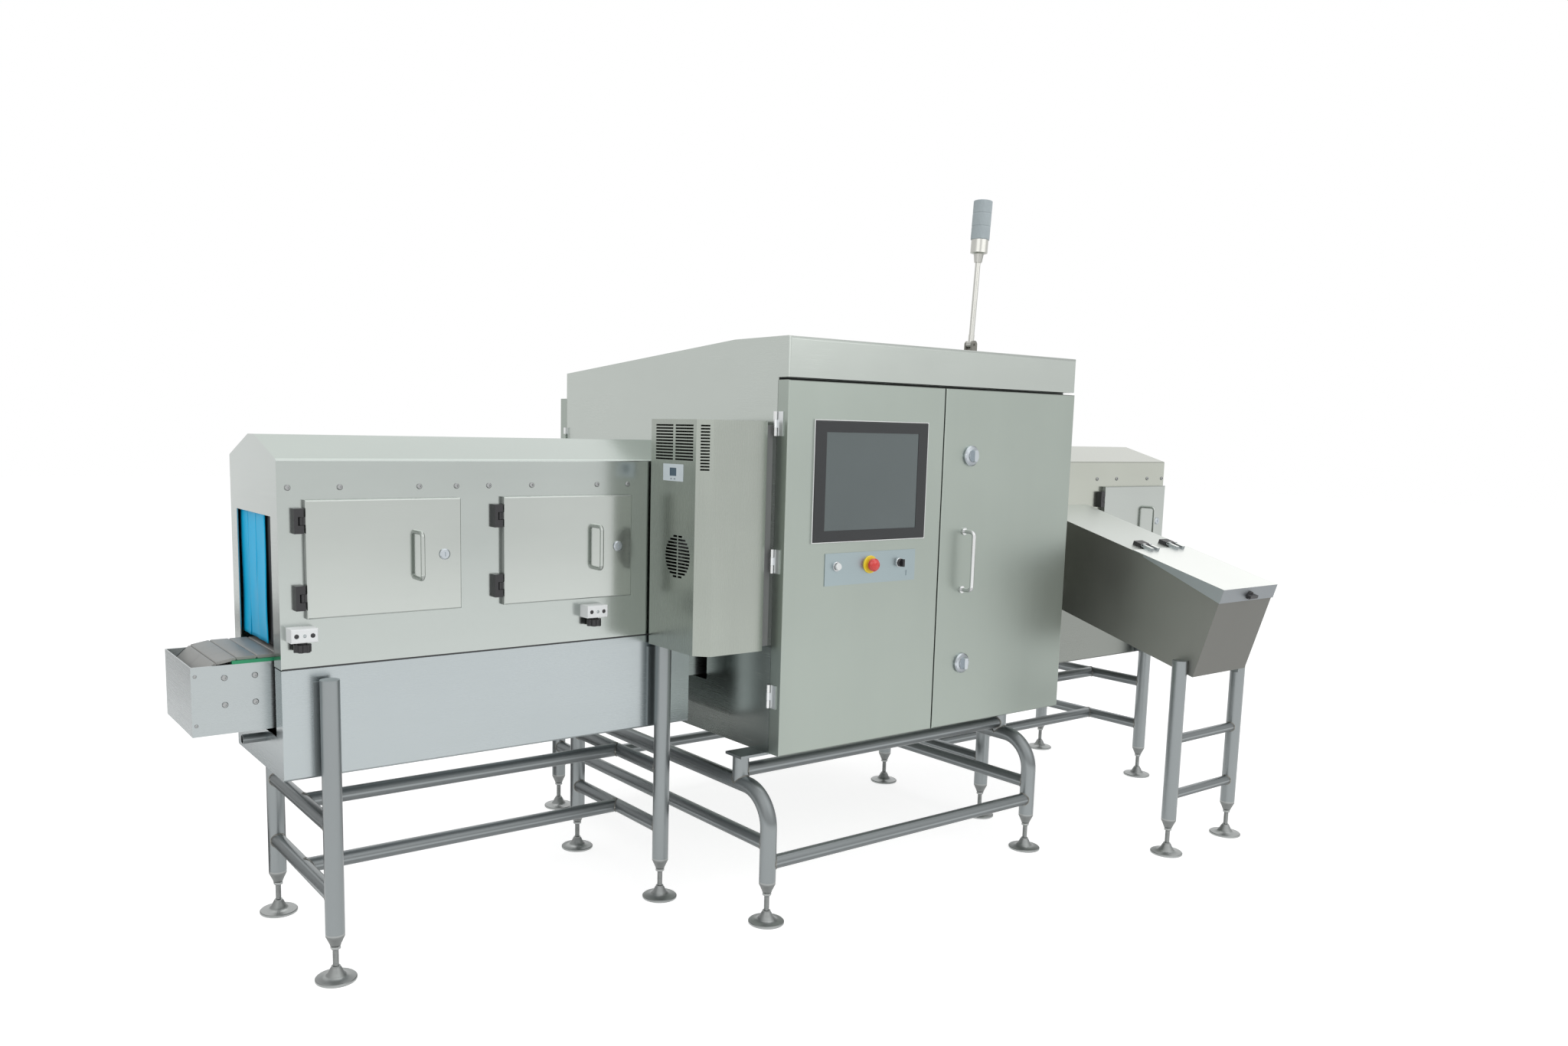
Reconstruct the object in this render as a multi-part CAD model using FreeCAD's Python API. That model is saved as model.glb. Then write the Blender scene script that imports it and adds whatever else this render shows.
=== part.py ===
import FreeCAD, Part
import math
import os
from FreeCAD import Vector

# X-ray inspection system for packed food: a belt runs through an infeed tunnel, a shielded cabinet
# and an outfeed tunnel with a reject chute. Millimetres, +Z up, +X along the belt, -Y to the operator.
# The floor is Z = 0 and the middle of the footprint is X = Y = 0; shapes are drawn with Y = 0 on the
# belt line and moved back by belt_line_y when they are written.

# Line and belt
line_length = 4170.0
belt_line_y = 99.85
belt_top = 872.0
belt_thickness = 9.0
belt_half_width = 143.0
turn_radius = 91.0
belt_end_gap = 6.0
link_pitch = 50.8
link_groove = 2.2
link_tooth = 9.0

# Sheet and clearances
sheet = 3.0
running_gap = 0.3
pin_play = 0.08
seam = 3.0

# Tunnels
end_overhang = 200.0
tunnel_half_width = 227.0
tunnel_floor = 842.0
eave_height = 1378.0
ridge_height = 1438.0
ridge_half_width = 28.0
mouth_half_width = 165.0
mouth_top = 1231.0
skirt_bottom = 547.5
skirt_lip = 30.0
skirt_mouth_bottom = 655.0
skirt_gap = 100.0
duct_half_width = 190.0
duct_bottom = 660.0
duct_top = 1240.0
sheet_bend = 6.0

# Cabinet
cabinet_left = -522.0
cabinet_width = 1315.0
cabinet_front = -518.0
cabinet_back = 769.0
cabinet_bottom = 493.0
fascia_gap = 8.0
fascia_height = 119.0
roof_break_y = -300.0
roof_fall = 75.0
cabinet_wall = 4.0
roof_bend = 10.0
door_thickness = 50.0
door_gap = 1.0
door_split_gap = 5.0
door_rise = 2.0
door_height = 1129.0
door_frame_margin = 40.0
rear_door_width = 690.0
rear_door_drop = 42.0
rear_handle_inset = 70.0

# Cabinet hinges, handle and locks
low_hinge_rise = 179.0
middle_hinge_rise = 592.0
top_hinge_drop = 128.0
hinge_height = 72.0
hinge_leaf = 30.0
hinge_fixed_leaf = 15.0
hinge_leaf_thickness = 3.0
knuckle_radius = 6.0
hinge_pin_radius = 3.0
door_handle_from_split = 111.0
door_handle_low = 953.0
door_handle_high = 1163.0
door_handle_reach = 45.0
door_handle_radius = 7.0
lock_from_split = 126.0
upper_lock_drop = 217.0
lower_lock_rise = 213.0
lock_rose_radius = 34.0

# Operator panel on the left door
screen_left = 103.0
screen_width = 472.0
screen_drop = 116.0
screen_height = 364.0
screen_thickness = 8.0
glass_width = 386.0
glass_height = 298.0
glass_thickness = 4.0
pc_depth = 46.0
plate_left = 159.0
plate_width = 385.0
plate_gap = 37.0
plate_height = 100.0
plate_thickness = 2.0
button_rise = 59.0
start_from_left = 206.0
estop_from_left = 346.0
selector_from_left = 474.0

# Cooling unit
cooler_depth = 230.0
cooler_gap = 30.0
cooler_front = -512.0
cooler_back = -235.0
cooler_bottom = 815.0
cooler_top = 1503.0
cooler_chamfer = 38.0
cooler_sheet = 2.0
cooler_bend = 4.0
cooler_flange = 40.0
display_width = 104.0
display_height = 50.0
display_drop = 131.0
display_from_chamfer = 114.0
fan_radius = 60.0
fan_centre_y = -388.0
fan_centre_z = 1100.0

# Tunnel doors
tunnel_door_height = 305.0
tunnel_door_bottom = 971.0
tunnel_door_depth = 18.0
tunnel_door_overlap = 16.0
door_bend = 4.0
infeed_door_offset = 64.0
infeed_door_space = 128.0
infeed_door_to_cooler = 71.0
outfeed_door_offset = 10.0
block_hinge_width = 24.0
block_hinge_height = 64.0
block_hinge_depth = 20.0
tunnel_handle_inset = 125.0
tunnel_handle_length = 136.0
tunnel_handle_reach = 36.0
tunnel_handle_radius = 6.0
cam_lock_inset = 49.0
cam_lock_radius = 15.0

# Guide rail
clamp_offset = 48.0
second_clamp_to_cabinet = 462.0
clamp_drop = 37.0
clamp_width = 68.0
clamp_half_height = 18.0
clamp_depth = 46.0
rail_reach = 20.0
rail_half_height = 22.0
rail_thickness = 10.0
rail_overhang = 20.0
rail_run_out = 60.0
rail_rod_radius = 6.0
knob_radius = 22.0

# Conveyor
side_plate = 5.0
conveyor_half_width = 151.0
conveyor_bottom = 676.0
conveyor_top = 855.0
shaft_radius = 15.0
seat_floor = 1.2
wear_strip_width = 23.0
wear_strip_overhang = 2.0
cross_tube_radius = 15.0
cross_tube_inset = 54.0

# Reject chute
chute_from_end = 696.5
chute_width = 335.0
chute_depth = 332.0
chute_slope = 16.0
chute_tip_y = -1054.0
chute_tip_z = 967.0
lid_hinge_y = -680.0
lid_flange = 48.0
pusher_stroke = 300.0
pusher_side_gap = 25.0
pusher_wall_gap = 6.0
pusher_thickness = 6.0
pusher_belt_gap = 12.0
pusher_rise = 60.0
pusher_flange_half = 45.0
pusher_barrel_half = 27.0
cylinder_overrun = 60.0

# Tubular stands
leg_radius = 25.4
rail_radius = 21.2
rung_radius = 16.9
tube_wall = 2.0
closing_line_turn = 30.0
leg_bottom = 130.0
leg_inset = 110.0
infeed_inner_leg_gap = 225.0
outfeed_inner_leg_inset = 46.0
leg_half_width = 267.0
leg_top = 814.0
upper_rail_height = 418.0
lower_rail_height = 228.0
arch_left_overhang = 62.5
arch_spacing = 1187.5
arch_front = -608.0
arch_back = 707.0
arch_height = 400.0
arch_bend = 110.0
arch_tie_height = 243.0
arch_rail_height = 185.0
post_front = -463.0
post_back = 560.0
beam_height = 437.0
pad_radius = 54.5

# Signal tower
tower_x = 425.5
tower_y = -400.0
tower_lean = 3.4
tower_pole_radius = 9.0
tower_pole_length = 312.0
lamp_radius = 32.0
lamp_height = 132.0
cup_height = 44.0

# Parts inside the cabinet
beam_from_middle = 315.0
beam_slit_half = 8.0
beam_slit_reach = 150.0
detector_half = 40.0
detector_window_reach = 120.0
tank_length = 300.0
tank_width = 260.0
tank_height = 240.0
tank_rise = 60.0
computer_offset = 120.0
computer_width = 340.0
computer_depth = 210.0
computer_height = 300.0
computer_front_gap = 78.0

# Stations worked out from the sizes above
tunnel_end = line_length / 2 - end_overhang
cabinet_right = cabinet_left + cabinet_width
cabinet_middle = cabinet_left + cabinet_width / 2
door_face = cabinet_front - door_gap - door_thickness
door_bottom = cabinet_bottom + door_rise
door_top = door_bottom + door_height
rear_door_top = door_top - rear_door_drop
fascia_bottom = door_top + fascia_gap
roof_front_height = fascia_bottom + fascia_height
roof_back_height = roof_front_height - roof_fall
hinge_heights = [door_bottom + low_hinge_rise, door_bottom + middle_hinge_rise, door_top - top_hinge_drop]
upper_lock_height = door_top - upper_lock_drop
lower_lock_height = door_bottom + lower_lock_rise
screen_low = door_top - screen_drop - screen_height
plate_low = screen_low - plate_gap - plate_height
button_height = plate_low + button_rise
tunnel_inner = tunnel_half_width - sheet
tunnel_door_free = cabinet_left - cooler_gap - cooler_depth - infeed_door_to_cooler + tunnel_end
tunnel_door_width = (tunnel_door_free - infeed_door_offset - infeed_door_space) / 2
tunnel_handle_offset = tunnel_door_width - tunnel_handle_inset
cam_lock_offset = tunnel_door_width - cam_lock_inset
infeed_door_pitch = tunnel_door_width + infeed_door_space
clamp_height = tunnel_door_bottom - clamp_drop
chute_x = tunnel_end - chute_from_end
belt_axis_z = belt_top - turn_radius
belt_axis_x = line_length / 2 - sheet - belt_end_gap - turn_radius
drum_radius = turn_radius - belt_thickness - running_gap
beam_x = cabinet_middle + beam_from_middle


def block(x0, x1, y0, y1, z0, z1):
    """Box between two corners."""
    return Part.makeBox(x1 - x0, y1 - y0, z1 - z0, Vector(x0, y0, z0))


def rod(start, end, radius):
    """Round bar from one point to another."""
    axis = end - start
    return Part.makeCylinder(radius, axis.Length, start, axis)


def prism(points, direction):
    """Closed outline of corner points, pushed along a direction."""
    wire = Part.makePolygon(points + [points[0]])
    return Part.Face(wire).extrude(direction)


def prism_x(corners, x0, x1):
    """Outline of (Y, Z) corners, pushed from x0 to x1."""
    return prism([Vector(x0, y, z) for y, z in corners], Vector(x1 - x0, 0, 0))


def prism_y(corners, y0, y1):
    """Outline of (X, Z) corners, pushed from y0 to y1."""
    return prism([Vector(x, y0, z) for x, z in corners], Vector(0, y1 - y0, 0))


def prism_z(corners, z0, z1):
    """Outline of (X, Y) corners, pushed from z0 to z1."""
    return prism([Vector(x, y, z0) for x, y in corners], Vector(0, 0, z1 - z0))


def turned(profile, base, axis):
    """Profile of (radius, height) corners, turned round an axis through base."""
    wire = Part.makePolygon([Vector(r, 0, h) for r, h in profile + [profile[0]]])
    solid = Part.Face(wire).revolve(Vector(0, 0, 0), Vector(0, 0, 1), 360)
    turn = FreeCAD.Rotation(Vector(0, 0, 1), axis)
    solid.Placement = FreeCAD.Placement(base, turn)
    return solid


def joined(shapes):
    """One solid of several that meet."""
    if len(shapes) == 1:
        return shapes[0]
    return shapes[0].multiFuse(shapes[1:]).removeSplitter()


def bent_edges(shape, along, radius, test):
    """Round the straight edges of a shape that run along an axis and pass a test on their box."""
    lengths = {"x": "XLength", "y": "YLength", "z": "ZLength"}
    others = [lengths[axis] for axis in lengths if axis != along]
    chosen = []
    for edge in shape.Edges:
        bounds = edge.BoundBox
        straight = max(getattr(bounds, other) for other in others) < 0.01
        if straight and getattr(bounds, lengths[along]) > radius and test(bounds):
            chosen.append(edge)
    return shape.makeFillet(radius, chosen)


def bent_bar(points, bend, radius):
    """Round bar along straight runs with an arc of the bend radius at each corner."""
    edges = []
    start = points[0]
    for before, corner, after in zip(points, points[1:], points[2:]):
        inward = (before - corner).normalize()
        onward = (after - corner).normalize()
        half = inward.getAngle(onward) / 2
        setback = bend / math.tan(half)
        first = corner + inward * setback
        last = corner + onward * setback
        middle_way = (inward + onward).normalize()
        apex = corner + middle_way * (bend / math.sin(half) - bend)
        edges.append(Part.LineSegment(start, first).toShape())
        edges.append(Part.Arc(first, apex, last).toShape())
        start = last
    edges.append(Part.LineSegment(start, points[-1]).toShape())
    ring = Part.makeCircle(radius, points[0], points[1] - points[0])
    ring.rotate(points[0], points[1] - points[0], closing_line_turn)
    return Part.Wire(edges).makePipeShell([Part.Wire(ring)], True, False)


# Tunnels

def hood_outline(inset):
    """(Y, Z) outline of a tunnel hood, moved inwards by the sheet."""
    slope = (ridge_height - eave_height) / (tunnel_half_width - ridge_half_width)
    drop = inset * math.sqrt(1 + slope * slope)
    side = tunnel_half_width - inset
    eave = eave_height + inset * slope - drop
    ridge = ridge_height - inset
    ridge_y = tunnel_half_width - (ridge - eave_height + drop) / slope
    foot = tunnel_floor - (1 if inset else 0)
    half = [(side, foot), (side, eave), (ridge_y, ridge)]
    return half + [(-y, z) for y, z in reversed(half)]


def door_hole(door_left):
    """Opening that a tunnel door covers."""
    lap = tunnel_door_overlap
    left = door_left + lap
    right = door_left + tunnel_door_width - lap
    low = tunnel_door_bottom + lap
    high = tunnel_door_bottom + tunnel_door_height - lap
    return block(left, right, -tunnel_half_width - 1, -tunnel_inner + 1, low, high)


def folded(shape, radius):
    """Round the bends along a hood's eaves and ridge."""
    return bent_edges(shape, "x", radius, lambda bounds: bounds.ZMin > eave_height - 2 * sheet)


def hood_shell(x_near, x_far, mouth_left):
    """Gabled sheet hood, folded at eaves and ridge, with a mouth plate at one end."""
    shell = folded(prism_x(hood_outline(0), x_near, x_far), sheet_bend)
    if mouth_left:
        hollow = prism_x(hood_outline(sheet), x_near + sheet, x_far + 1)
        mouth = (x_near - 1, x_near + sheet + 1)
    else:
        hollow = prism_x(hood_outline(sheet), x_near - 1, x_far - sheet)
        mouth = (x_far - sheet - 1, x_far + 1)
    hollow = folded(hollow, sheet_bend - sheet)
    cut = block(mouth[0], mouth[1], -mouth_half_width, mouth_half_width, tunnel_floor - 1, mouth_top)
    return shell.cut(hollow).cut(cut)


def clamp_stations():
    """X of the two guide-rail clamps."""
    return [-tunnel_end + clamp_offset, cabinet_left - second_clamp_to_cabinet]


def rail_rod_stations():
    """X of the four rods that carry the guide rail."""
    return [x + side * clamp_width * 0.3 for x in clamp_stations() for side in (-1, 1)]


def infeed_door_lefts():
    """Left edges of the two infeed doors."""
    first = -tunnel_end + infeed_door_offset
    return [first, first + infeed_door_pitch]


def outfeed_door_left():
    """Left edge of the outfeed door."""
    return tunnel_end - outfeed_door_offset - tunnel_door_width


def infeed_hood():
    hood = hood_shell(-tunnel_end, cabinet_left, True)
    holes = [door_hole(left) for left in infeed_door_lefts()]
    for x in rail_rod_stations():
        start = Vector(x, -tunnel_half_width - 1, clamp_height)
        holes.append(rod(start, start + Vector(0, sheet + 2, 0), rail_rod_radius + pin_play))
    holes.append(curtain_seats(-tunnel_end, 1))
    return joined([hood.cut(holes)] + rear_rail())


def rear_rail():
    """Fixed guide rail behind the belt, on welded brackets."""
    first, last = clamp_stations()
    y0 = tunnel_inner - rail_reach - rail_thickness
    low = clamp_height - rail_half_height
    high = clamp_height + rail_half_height
    start = first - rail_overhang
    pieces = [block(start, last + rail_run_out, y0, y0 + rail_thickness, low, high)]
    for x in clamp_stations():
        pieces.append(block(x - 15, x + 15, y0 + 9, tunnel_inner + 1, clamp_height - 12, clamp_height + 12))
    return pieces


def chute_wall_cut(half_width, y0, y1):
    """Block over the mouth that the reject chute leaves in the tunnel's front."""
    low = chute_bottom_z(-tunnel_half_width) + sheet / math.cos(math.radians(chute_slope))
    high = chute_top_z(-tunnel_half_width) - 2 * sheet
    return block(chute_x - half_width, chute_x + half_width, y0, y1, low + sheet, high)


def outfeed_hood():
    hood = hood_shell(cabinet_right, tunnel_end, False)
    mouth = chute_wall_cut(chute_width / 2 - sheet, -tunnel_half_width - 1, -tunnel_inner + 1)
    start = Vector(chute_x, tunnel_inner - 1, pusher_height())
    ram_hole = rod(start, start + Vector(0, sheet + 2, 0), pusher_rod_radius + pin_play)
    return hood.cut([door_hole(outfeed_door_left()), mouth, ram_hole, curtain_seats(tunnel_end, -1)])


def skirt(x0, x1):
    """Open trough under a hood, with inner lips that the hood slips over."""
    half = tunnel_half_width
    top = tunnel_floor - seam
    trough = block(x0, x1, -half, half, skirt_bottom, top)
    trough = bent_edges(trough, "x", sheet_bend, lambda bounds: bounds.ZMax < skirt_bottom + 1)
    hollow = block(x0 + sheet, x1 - sheet, -half + sheet, half - sheet, skirt_bottom + sheet, top + 1)
    trough = trough.cut(hollow)
    end_cut = block(x0 - 1, x1 + 1, -duct_half_width + 20, duct_half_width - 20, skirt_mouth_bottom, top + 1)
    trough = trough.cut(end_cut)
    lips = []
    for side in (-1, 1):
        outer = side * (half - sheet)
        inner = side * (half - 2 * sheet)
        ys = sorted((outer, inner))
        lips.append(block(x0 + sheet, x1 - sheet, ys[0], ys[1], top - skirt_lip, tunnel_floor + skirt_lip))
    return joined([trough] + lips)


curtain_half_width = 180.0
strip_slit = 2.0
strip_thickness = 3.0
curtain_setback = 11.0
curtain_axis_z = mouth_top + 22
curtain_journal = 5.0
curtain_seat = 1.8


def curtain_axis_x(mouth_x, inward):
    """X of the bar that a strip curtain hangs on."""
    return mouth_x + inward * (curtain_setback + 6.5)


def curtain_seats(mouth_x, inward):
    """Blind seats for the curtain's journals in a hood's two side sheets."""
    x = curtain_axis_x(mouth_x, inward)
    reach = tunnel_inner + curtain_seat
    return rod(Vector(x, -reach, curtain_axis_z), Vector(x, reach, curtain_axis_z), curtain_journal + pin_play)


def curtain(mouth_x, inward):
    """Row of hanging strips on a header bar that swings on two end journals."""
    front = mouth_x + inward * curtain_setback
    header_z = curtain_axis_z

    def strip(y0, y1, depth):
        xs = sorted((front + inward * depth, front + inward * (depth + strip_thickness)))
        return block(xs[0], xs[1], y0, y1, belt_top + 10, header_z)

    xs = sorted((front - inward * 1, front + inward * 14))
    pieces = [block(xs[0], xs[1], -curtain_half_width, curtain_half_width, header_z - 7, header_z + 9)]
    width = (2 * curtain_half_width - 4 * strip_slit) / 4
    for number in range(4):
        y0 = -curtain_half_width + strip_slit + number * (width + strip_slit * 2 / 3)
        pieces.append(strip(y0, y0 + width, 9))
        if number > 0:
            pieces.append(strip(y0, y0 + width, 1))
    axis_x = curtain_axis_x(mouth_x, inward)
    reach = tunnel_inner + curtain_seat - running_gap
    pieces.append(rod(Vector(axis_x, -reach, header_z), Vector(axis_x, reach, header_z), curtain_journal))
    return joined(pieces)


# Cabinet

def roof_outline(inset):
    """(Y, Z) outline of the roof cap with its fascia over the doors, moved inwards by the wall."""
    foot = fascia_bottom - (1 if inset else 0)
    return [
        (cabinet_back - inset, foot),
        (cabinet_back - inset, roof_back_height - inset),
        (roof_break_y, roof_front_height - inset),
        (door_face + inset, roof_front_height - inset),
        (door_face + inset, fascia_bottom + inset),
        (cabinet_front + inset, fascia_bottom + inset),
        (cabinet_front + inset, foot),
    ]


def door_edges(index):
    """Left and right edges of a front door: 0 is the left one."""
    if index == 0:
        return cabinet_left, cabinet_middle - door_split_gap / 2
    return cabinet_middle + door_split_gap / 2, cabinet_right


def rear_door_edges():
    return cabinet_left, cabinet_left + rear_door_width


def roof_cap():
    """Folded roof with the fascia that overhangs the doors, open below."""
    wall = cabinet_wall
    cap = prism_x(roof_outline(0), cabinet_left, cabinet_right)
    cap = cap.cut(prism_x(roof_outline(wall), cabinet_left + wall, cabinet_right - wall))
    return cap.makeFillet(roof_bend, [e for e in cap.Edges if is_fascia_corner(e)])


def side_wall(x0, x1):
    """Side sheet with the tunnel's opening."""
    half = duct_half_width - cabinet_wall
    plate = block(x0, x1, cabinet_front, cabinet_back, cabinet_bottom, fascia_bottom)
    return plate.cut(block(x0 - 1, x1 + 1, -half, half, duct_bottom + cabinet_wall, duct_top - cabinet_wall))


def frame_opening(left, right, y0, y1, top):
    """Opening behind a door, a door frame's margin inside its edges."""
    margin = door_frame_margin
    return block(left + margin, right - margin, y0 - 1, y1 + 1, cabinet_bottom + margin, top - margin)


def cabinet_body():
    """Sheet walls, floor, roof cap and partition, welded face to face."""
    wall = cabinet_wall
    x0 = cabinet_left + wall
    x1 = cabinet_right - wall
    z0 = cabinet_bottom + wall
    left_wall = side_wall(cabinet_left, x0)
    cooler_mouth = block(cabinet_left - 1, x0 + 1, cooler_front + 60, cooler_back - 60,
                         cooler_bottom + 80, cooler_top - 80)
    left_wall = left_wall.cut(cooler_mouth)
    floor = block(x0, x1, cabinet_front, cabinet_back, cabinet_bottom, z0)
    inner_front = cabinet_front + wall
    front = block(x0, x1, cabinet_front, inner_front, z0, fascia_bottom)
    for index in (0, 1):
        left, right = door_edges(index)
        front = front.cut(frame_opening(left, right, cabinet_front, inner_front, door_top))
    inner_back = cabinet_back - wall
    back = block(x0, x1, inner_back, cabinet_back, z0, fascia_bottom)
    left, right = rear_door_edges()
    back = back.cut(frame_opening(left, right, inner_back, cabinet_back, rear_door_top))
    partition = block(cabinet_middle - wall / 2, cabinet_middle + wall / 2, inner_front,
                      -duct_half_width - running_gap, z0, fascia_bottom)
    walls = [left_wall, side_wall(x1, cabinet_right), floor, front, back, partition]
    return Part.makeCompound([roof_cap()] + walls)


def is_fascia_corner(edge):
    """The long edge along the top of the fascia and its two upright outer edges."""
    box = edge.BoundBox
    on_face = abs(box.YMin - door_face) < 0.01 and abs(box.YMax - door_face) < 0.01
    along_top = abs(box.ZMin - roof_front_height) < 0.01 and box.XLength > cabinet_width / 2
    at_side = min(abs(box.XMin - cabinet_left), abs(box.XMin - cabinet_right)) < 0.01
    upright = box.ZLength > roof_bend and at_side
    return on_face and (along_top or upright)


def tray(x0, x1, z0, z1, y_face, depth, wall):
    """Folded sheet door pan: front plate, four returns and a narrow inner lip."""
    direction = 1 if depth > 0 else -1
    y_back = y_face + depth
    ys = sorted((y_face, y_back))
    pan = block(x0, x1, ys[0], ys[1], z0, z1)
    rim = [e for e in pan.Edges if e.BoundBox.YLength < 0.01 and abs(e.BoundBox.YMin - y_face) < 0.01]
    pan = pan.makeFillet(min(door_bend, abs(depth) / 2), rim)
    inner = sorted((y_face + direction * wall, y_back - direction * wall))
    hollow = block(x0 + wall, x1 - wall, inner[0], inner[1], z0 + wall, z1 - wall)
    lip = 22.0
    mouth = sorted((y_back - direction * (wall + 1), y_back + direction * 1))
    opening = block(x0 + lip, x1 - lip, mouth[0], mouth[1], z0 + lip, z1 - lip)
    return pan.cut([hollow, opening])


def hinge_leaves(x_side, outward, y_gap, door_way, heights, moving):
    """Butt hinges on a cabinet side: fixed leaves with pins, or the door's leaves."""
    axis_x = x_side + outward * (knuckle_radius + running_gap)
    pieces = []
    third = hinge_height / 3
    for z in heights:
        low = z - hinge_height / 2
        leaf_way = door_way if moving else -door_way
        leaf_x = sorted((x_side, x_side + outward * hinge_leaf_thickness))
        width = hinge_leaf if moving else hinge_fixed_leaf
        leaf_y = sorted((y_gap + leaf_way * 1.0, y_gap + leaf_way * width))
        web_y = sorted((y_gap, y_gap + leaf_way * 5.0))
        leaf = block(leaf_x[0], leaf_x[1], leaf_y[0], leaf_y[1], low, low + hinge_height)
        if moving:
            spans = [(low + third + running_gap, low + 2 * third - running_gap)]
        else:
            spans = [(low, low + third), (low + 2 * third, low + hinge_height)]
        middle = [(low + third, low + 2 * third)]
        ends = [(low, low + third), (low + 2 * third, low + hinge_height)]
        for z0, z1 in ends if moving else middle:
            reach = y_gap + leaf_way * (knuckle_radius + 1)
            gap_y = sorted((y_gap - leaf_way, reach))
            notch = block(leaf_x[0] - 1, leaf_x[1] + 1, gap_y[0], gap_y[1],
                          z0 - running_gap, z1 + running_gap)
            leaf = leaf.cut(notch)
        solids = [leaf]
        for z0, z1 in spans:
            barrel = rod(Vector(axis_x, y_gap, z0), Vector(axis_x, y_gap, z1), knuckle_radius)
            web_x = sorted((axis_x, x_side + outward * 0.6))
            web = block(web_x[0], web_x[1], web_y[0], web_y[1], z0, z1)
            solids += [barrel, web.common(block(leaf_x[0], leaf_x[1], web_y[0], web_y[1], z0, z1))]
        piece = joined(solids)
        if moving:
            hole = rod(Vector(axis_x, y_gap, low), Vector(axis_x, y_gap, low + hinge_height),
                       hinge_pin_radius + pin_play)
            piece = piece.cut(hole)
        else:
            pin = rod(Vector(axis_x, y_gap, low), Vector(axis_x, y_gap, low + hinge_height), hinge_pin_radius)
            piece = joined([piece, pin])
        pieces.append(piece)
    return pieces


def front_gap_y():
    return cabinet_front - door_gap / 2


def rear_gap_y():
    return cabinet_back + door_gap / 2


def rear_hinge_heights():
    return [hinge_heights[0], hinge_heights[1], hinge_heights[2] - 60]


def cabinet_hinges():
    left = hinge_leaves(cabinet_left, -1, front_gap_y(), -1, hinge_heights, False)
    right = hinge_leaves(cabinet_right, 1, front_gap_y(), -1, hinge_heights, False)
    rear = hinge_leaves(cabinet_left, -1, rear_gap_y(), 1, rear_hinge_heights(), False)
    return Part.makeCompound(left + right + rear)


def left_door():
    x0, x1 = door_edges(0)
    door = tray(x0, x1, door_bottom, door_top, door_face, door_thickness, sheet)
    pc = pc_box(1.0)
    holes = [block(pc[0], pc[1], door_face - 1, door_face + sheet + 1, pc[2], pc[3])]
    for x in button_stations():
        start = Vector(x, door_face - 1, button_height)
        holes.append(rod(start, start + Vector(0, sheet + 2, 0), button_hole_radius))
    leaves = hinge_leaves(cabinet_left, -1, front_gap_y(), -1, hinge_heights, True)
    return joined([door.cut(holes)] + leaves)


def right_door():
    x0, x1 = door_edges(1)
    door = tray(x0, x1, door_bottom, door_top, door_face, door_thickness, sheet)
    holes = []
    for z in (upper_lock_height, lower_lock_height):
        start = Vector(x0 + lock_from_split, door_face - 1, z)
        holes.append(rod(start, start + Vector(0, sheet + 2, 0), lock_shaft_radius + pin_play))
    leaves = hinge_leaves(cabinet_right, 1, front_gap_y(), -1, hinge_heights, True)
    return joined([door.cut(holes)] + leaves)


def rear_door():
    x0, x1 = rear_door_edges()
    face = cabinet_back + door_gap + door_thickness
    door = tray(x0, x1, door_bottom, rear_door_top, face, -door_thickness, sheet)
    leaves = hinge_leaves(cabinet_left, -1, rear_gap_y(), 1, rear_hinge_heights(), True)
    handle = bar_handle(x1 - rear_handle_inset, face, 1, door_handle_low + 27, door_handle_high - 3,
                        door_handle_reach, door_handle_radius)
    return joined([door, handle] + leaves)


def bar_handle(x, y_face, way, z0, z1, reach, radius):
    """Round bar bent into a bow that stands on a door."""
    feet = [Vector(x, y_face, z0 + radius), Vector(x, y_face, z1 - radius)]
    tips = [p + Vector(0, way * reach, 0) for p in feet]
    return bent_bar([feet[0], tips[0], tips[1], feet[1]], radius * 2.2, radius)


def right_door_handle():
    x = door_edges(1)[0] + door_handle_from_split
    bow = bar_handle(x, door_face, -1, door_handle_low, door_handle_high,
                     door_handle_reach, door_handle_radius)
    roses = []
    for z in (door_handle_low + door_handle_radius, door_handle_high - door_handle_radius):
        roses.append(rod(Vector(x, door_face, z), Vector(x, door_face - 5, z), door_handle_radius * 1.7))
    return joined([bow] + roses)


lock_shaft_radius = 8.0


def door_lock(z):
    """Round turning lock: rose, grip bar, and a long cam that turns behind the cabinet's frame."""
    x = door_edges(1)[0] + lock_from_split
    base = Vector(x, door_face - running_gap, z)
    out = Vector(0, -1, 0)
    r = lock_rose_radius
    knob = turned([(0, 0), (r, 0), (r, 6), (r - 4, 10), (r * 0.62, 12), (r * 0.55, 26), (0, 26)], base, out)
    scoop = r * 0.26
    for side in (-1, 1):
        x0 = x + side * (r * 0.22 + scoop)
        knob = knob.cut(block(x0 - scoop, x0 + scoop, base.y - 40, base.y - 15, z - r, z + r))
    y0 = cabinet_front + cabinet_wall + 2
    shaft = rod(Vector(x, base.y - 2, z), Vector(x, y0 + 6, z), lock_shaft_radius)
    cam = block(x - 11, x + 11, y0, y0 + 6, z - 12, z + lock_from_split - door_frame_margin + 14)
    return joined([knob, shaft, cam])


button_hole_radius = 13.0


def button_stations():
    left = cabinet_left
    return [left + start_from_left, left + estop_from_left, left + selector_from_left]


def pc_box(extra):
    """Rear housing of the touch panel: x0, x1, z0, z1."""
    margin = 18.0
    x0 = cabinet_left + screen_left + margin - extra
    x1 = cabinet_left + screen_left + screen_width - margin + extra
    return x0, x1, screen_low + margin - extra, screen_low + screen_height - margin + extra


def glass_box(extra):
    """Glass of the touch panel: x0, x1, z0, z1."""
    x = cabinet_left + screen_left + screen_width / 2
    z = screen_low + screen_height / 2
    return (x - glass_width / 2 - extra, x + glass_width / 2 + extra,
            z - glass_height / 2 - extra, z + glass_height / 2 + extra)


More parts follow.
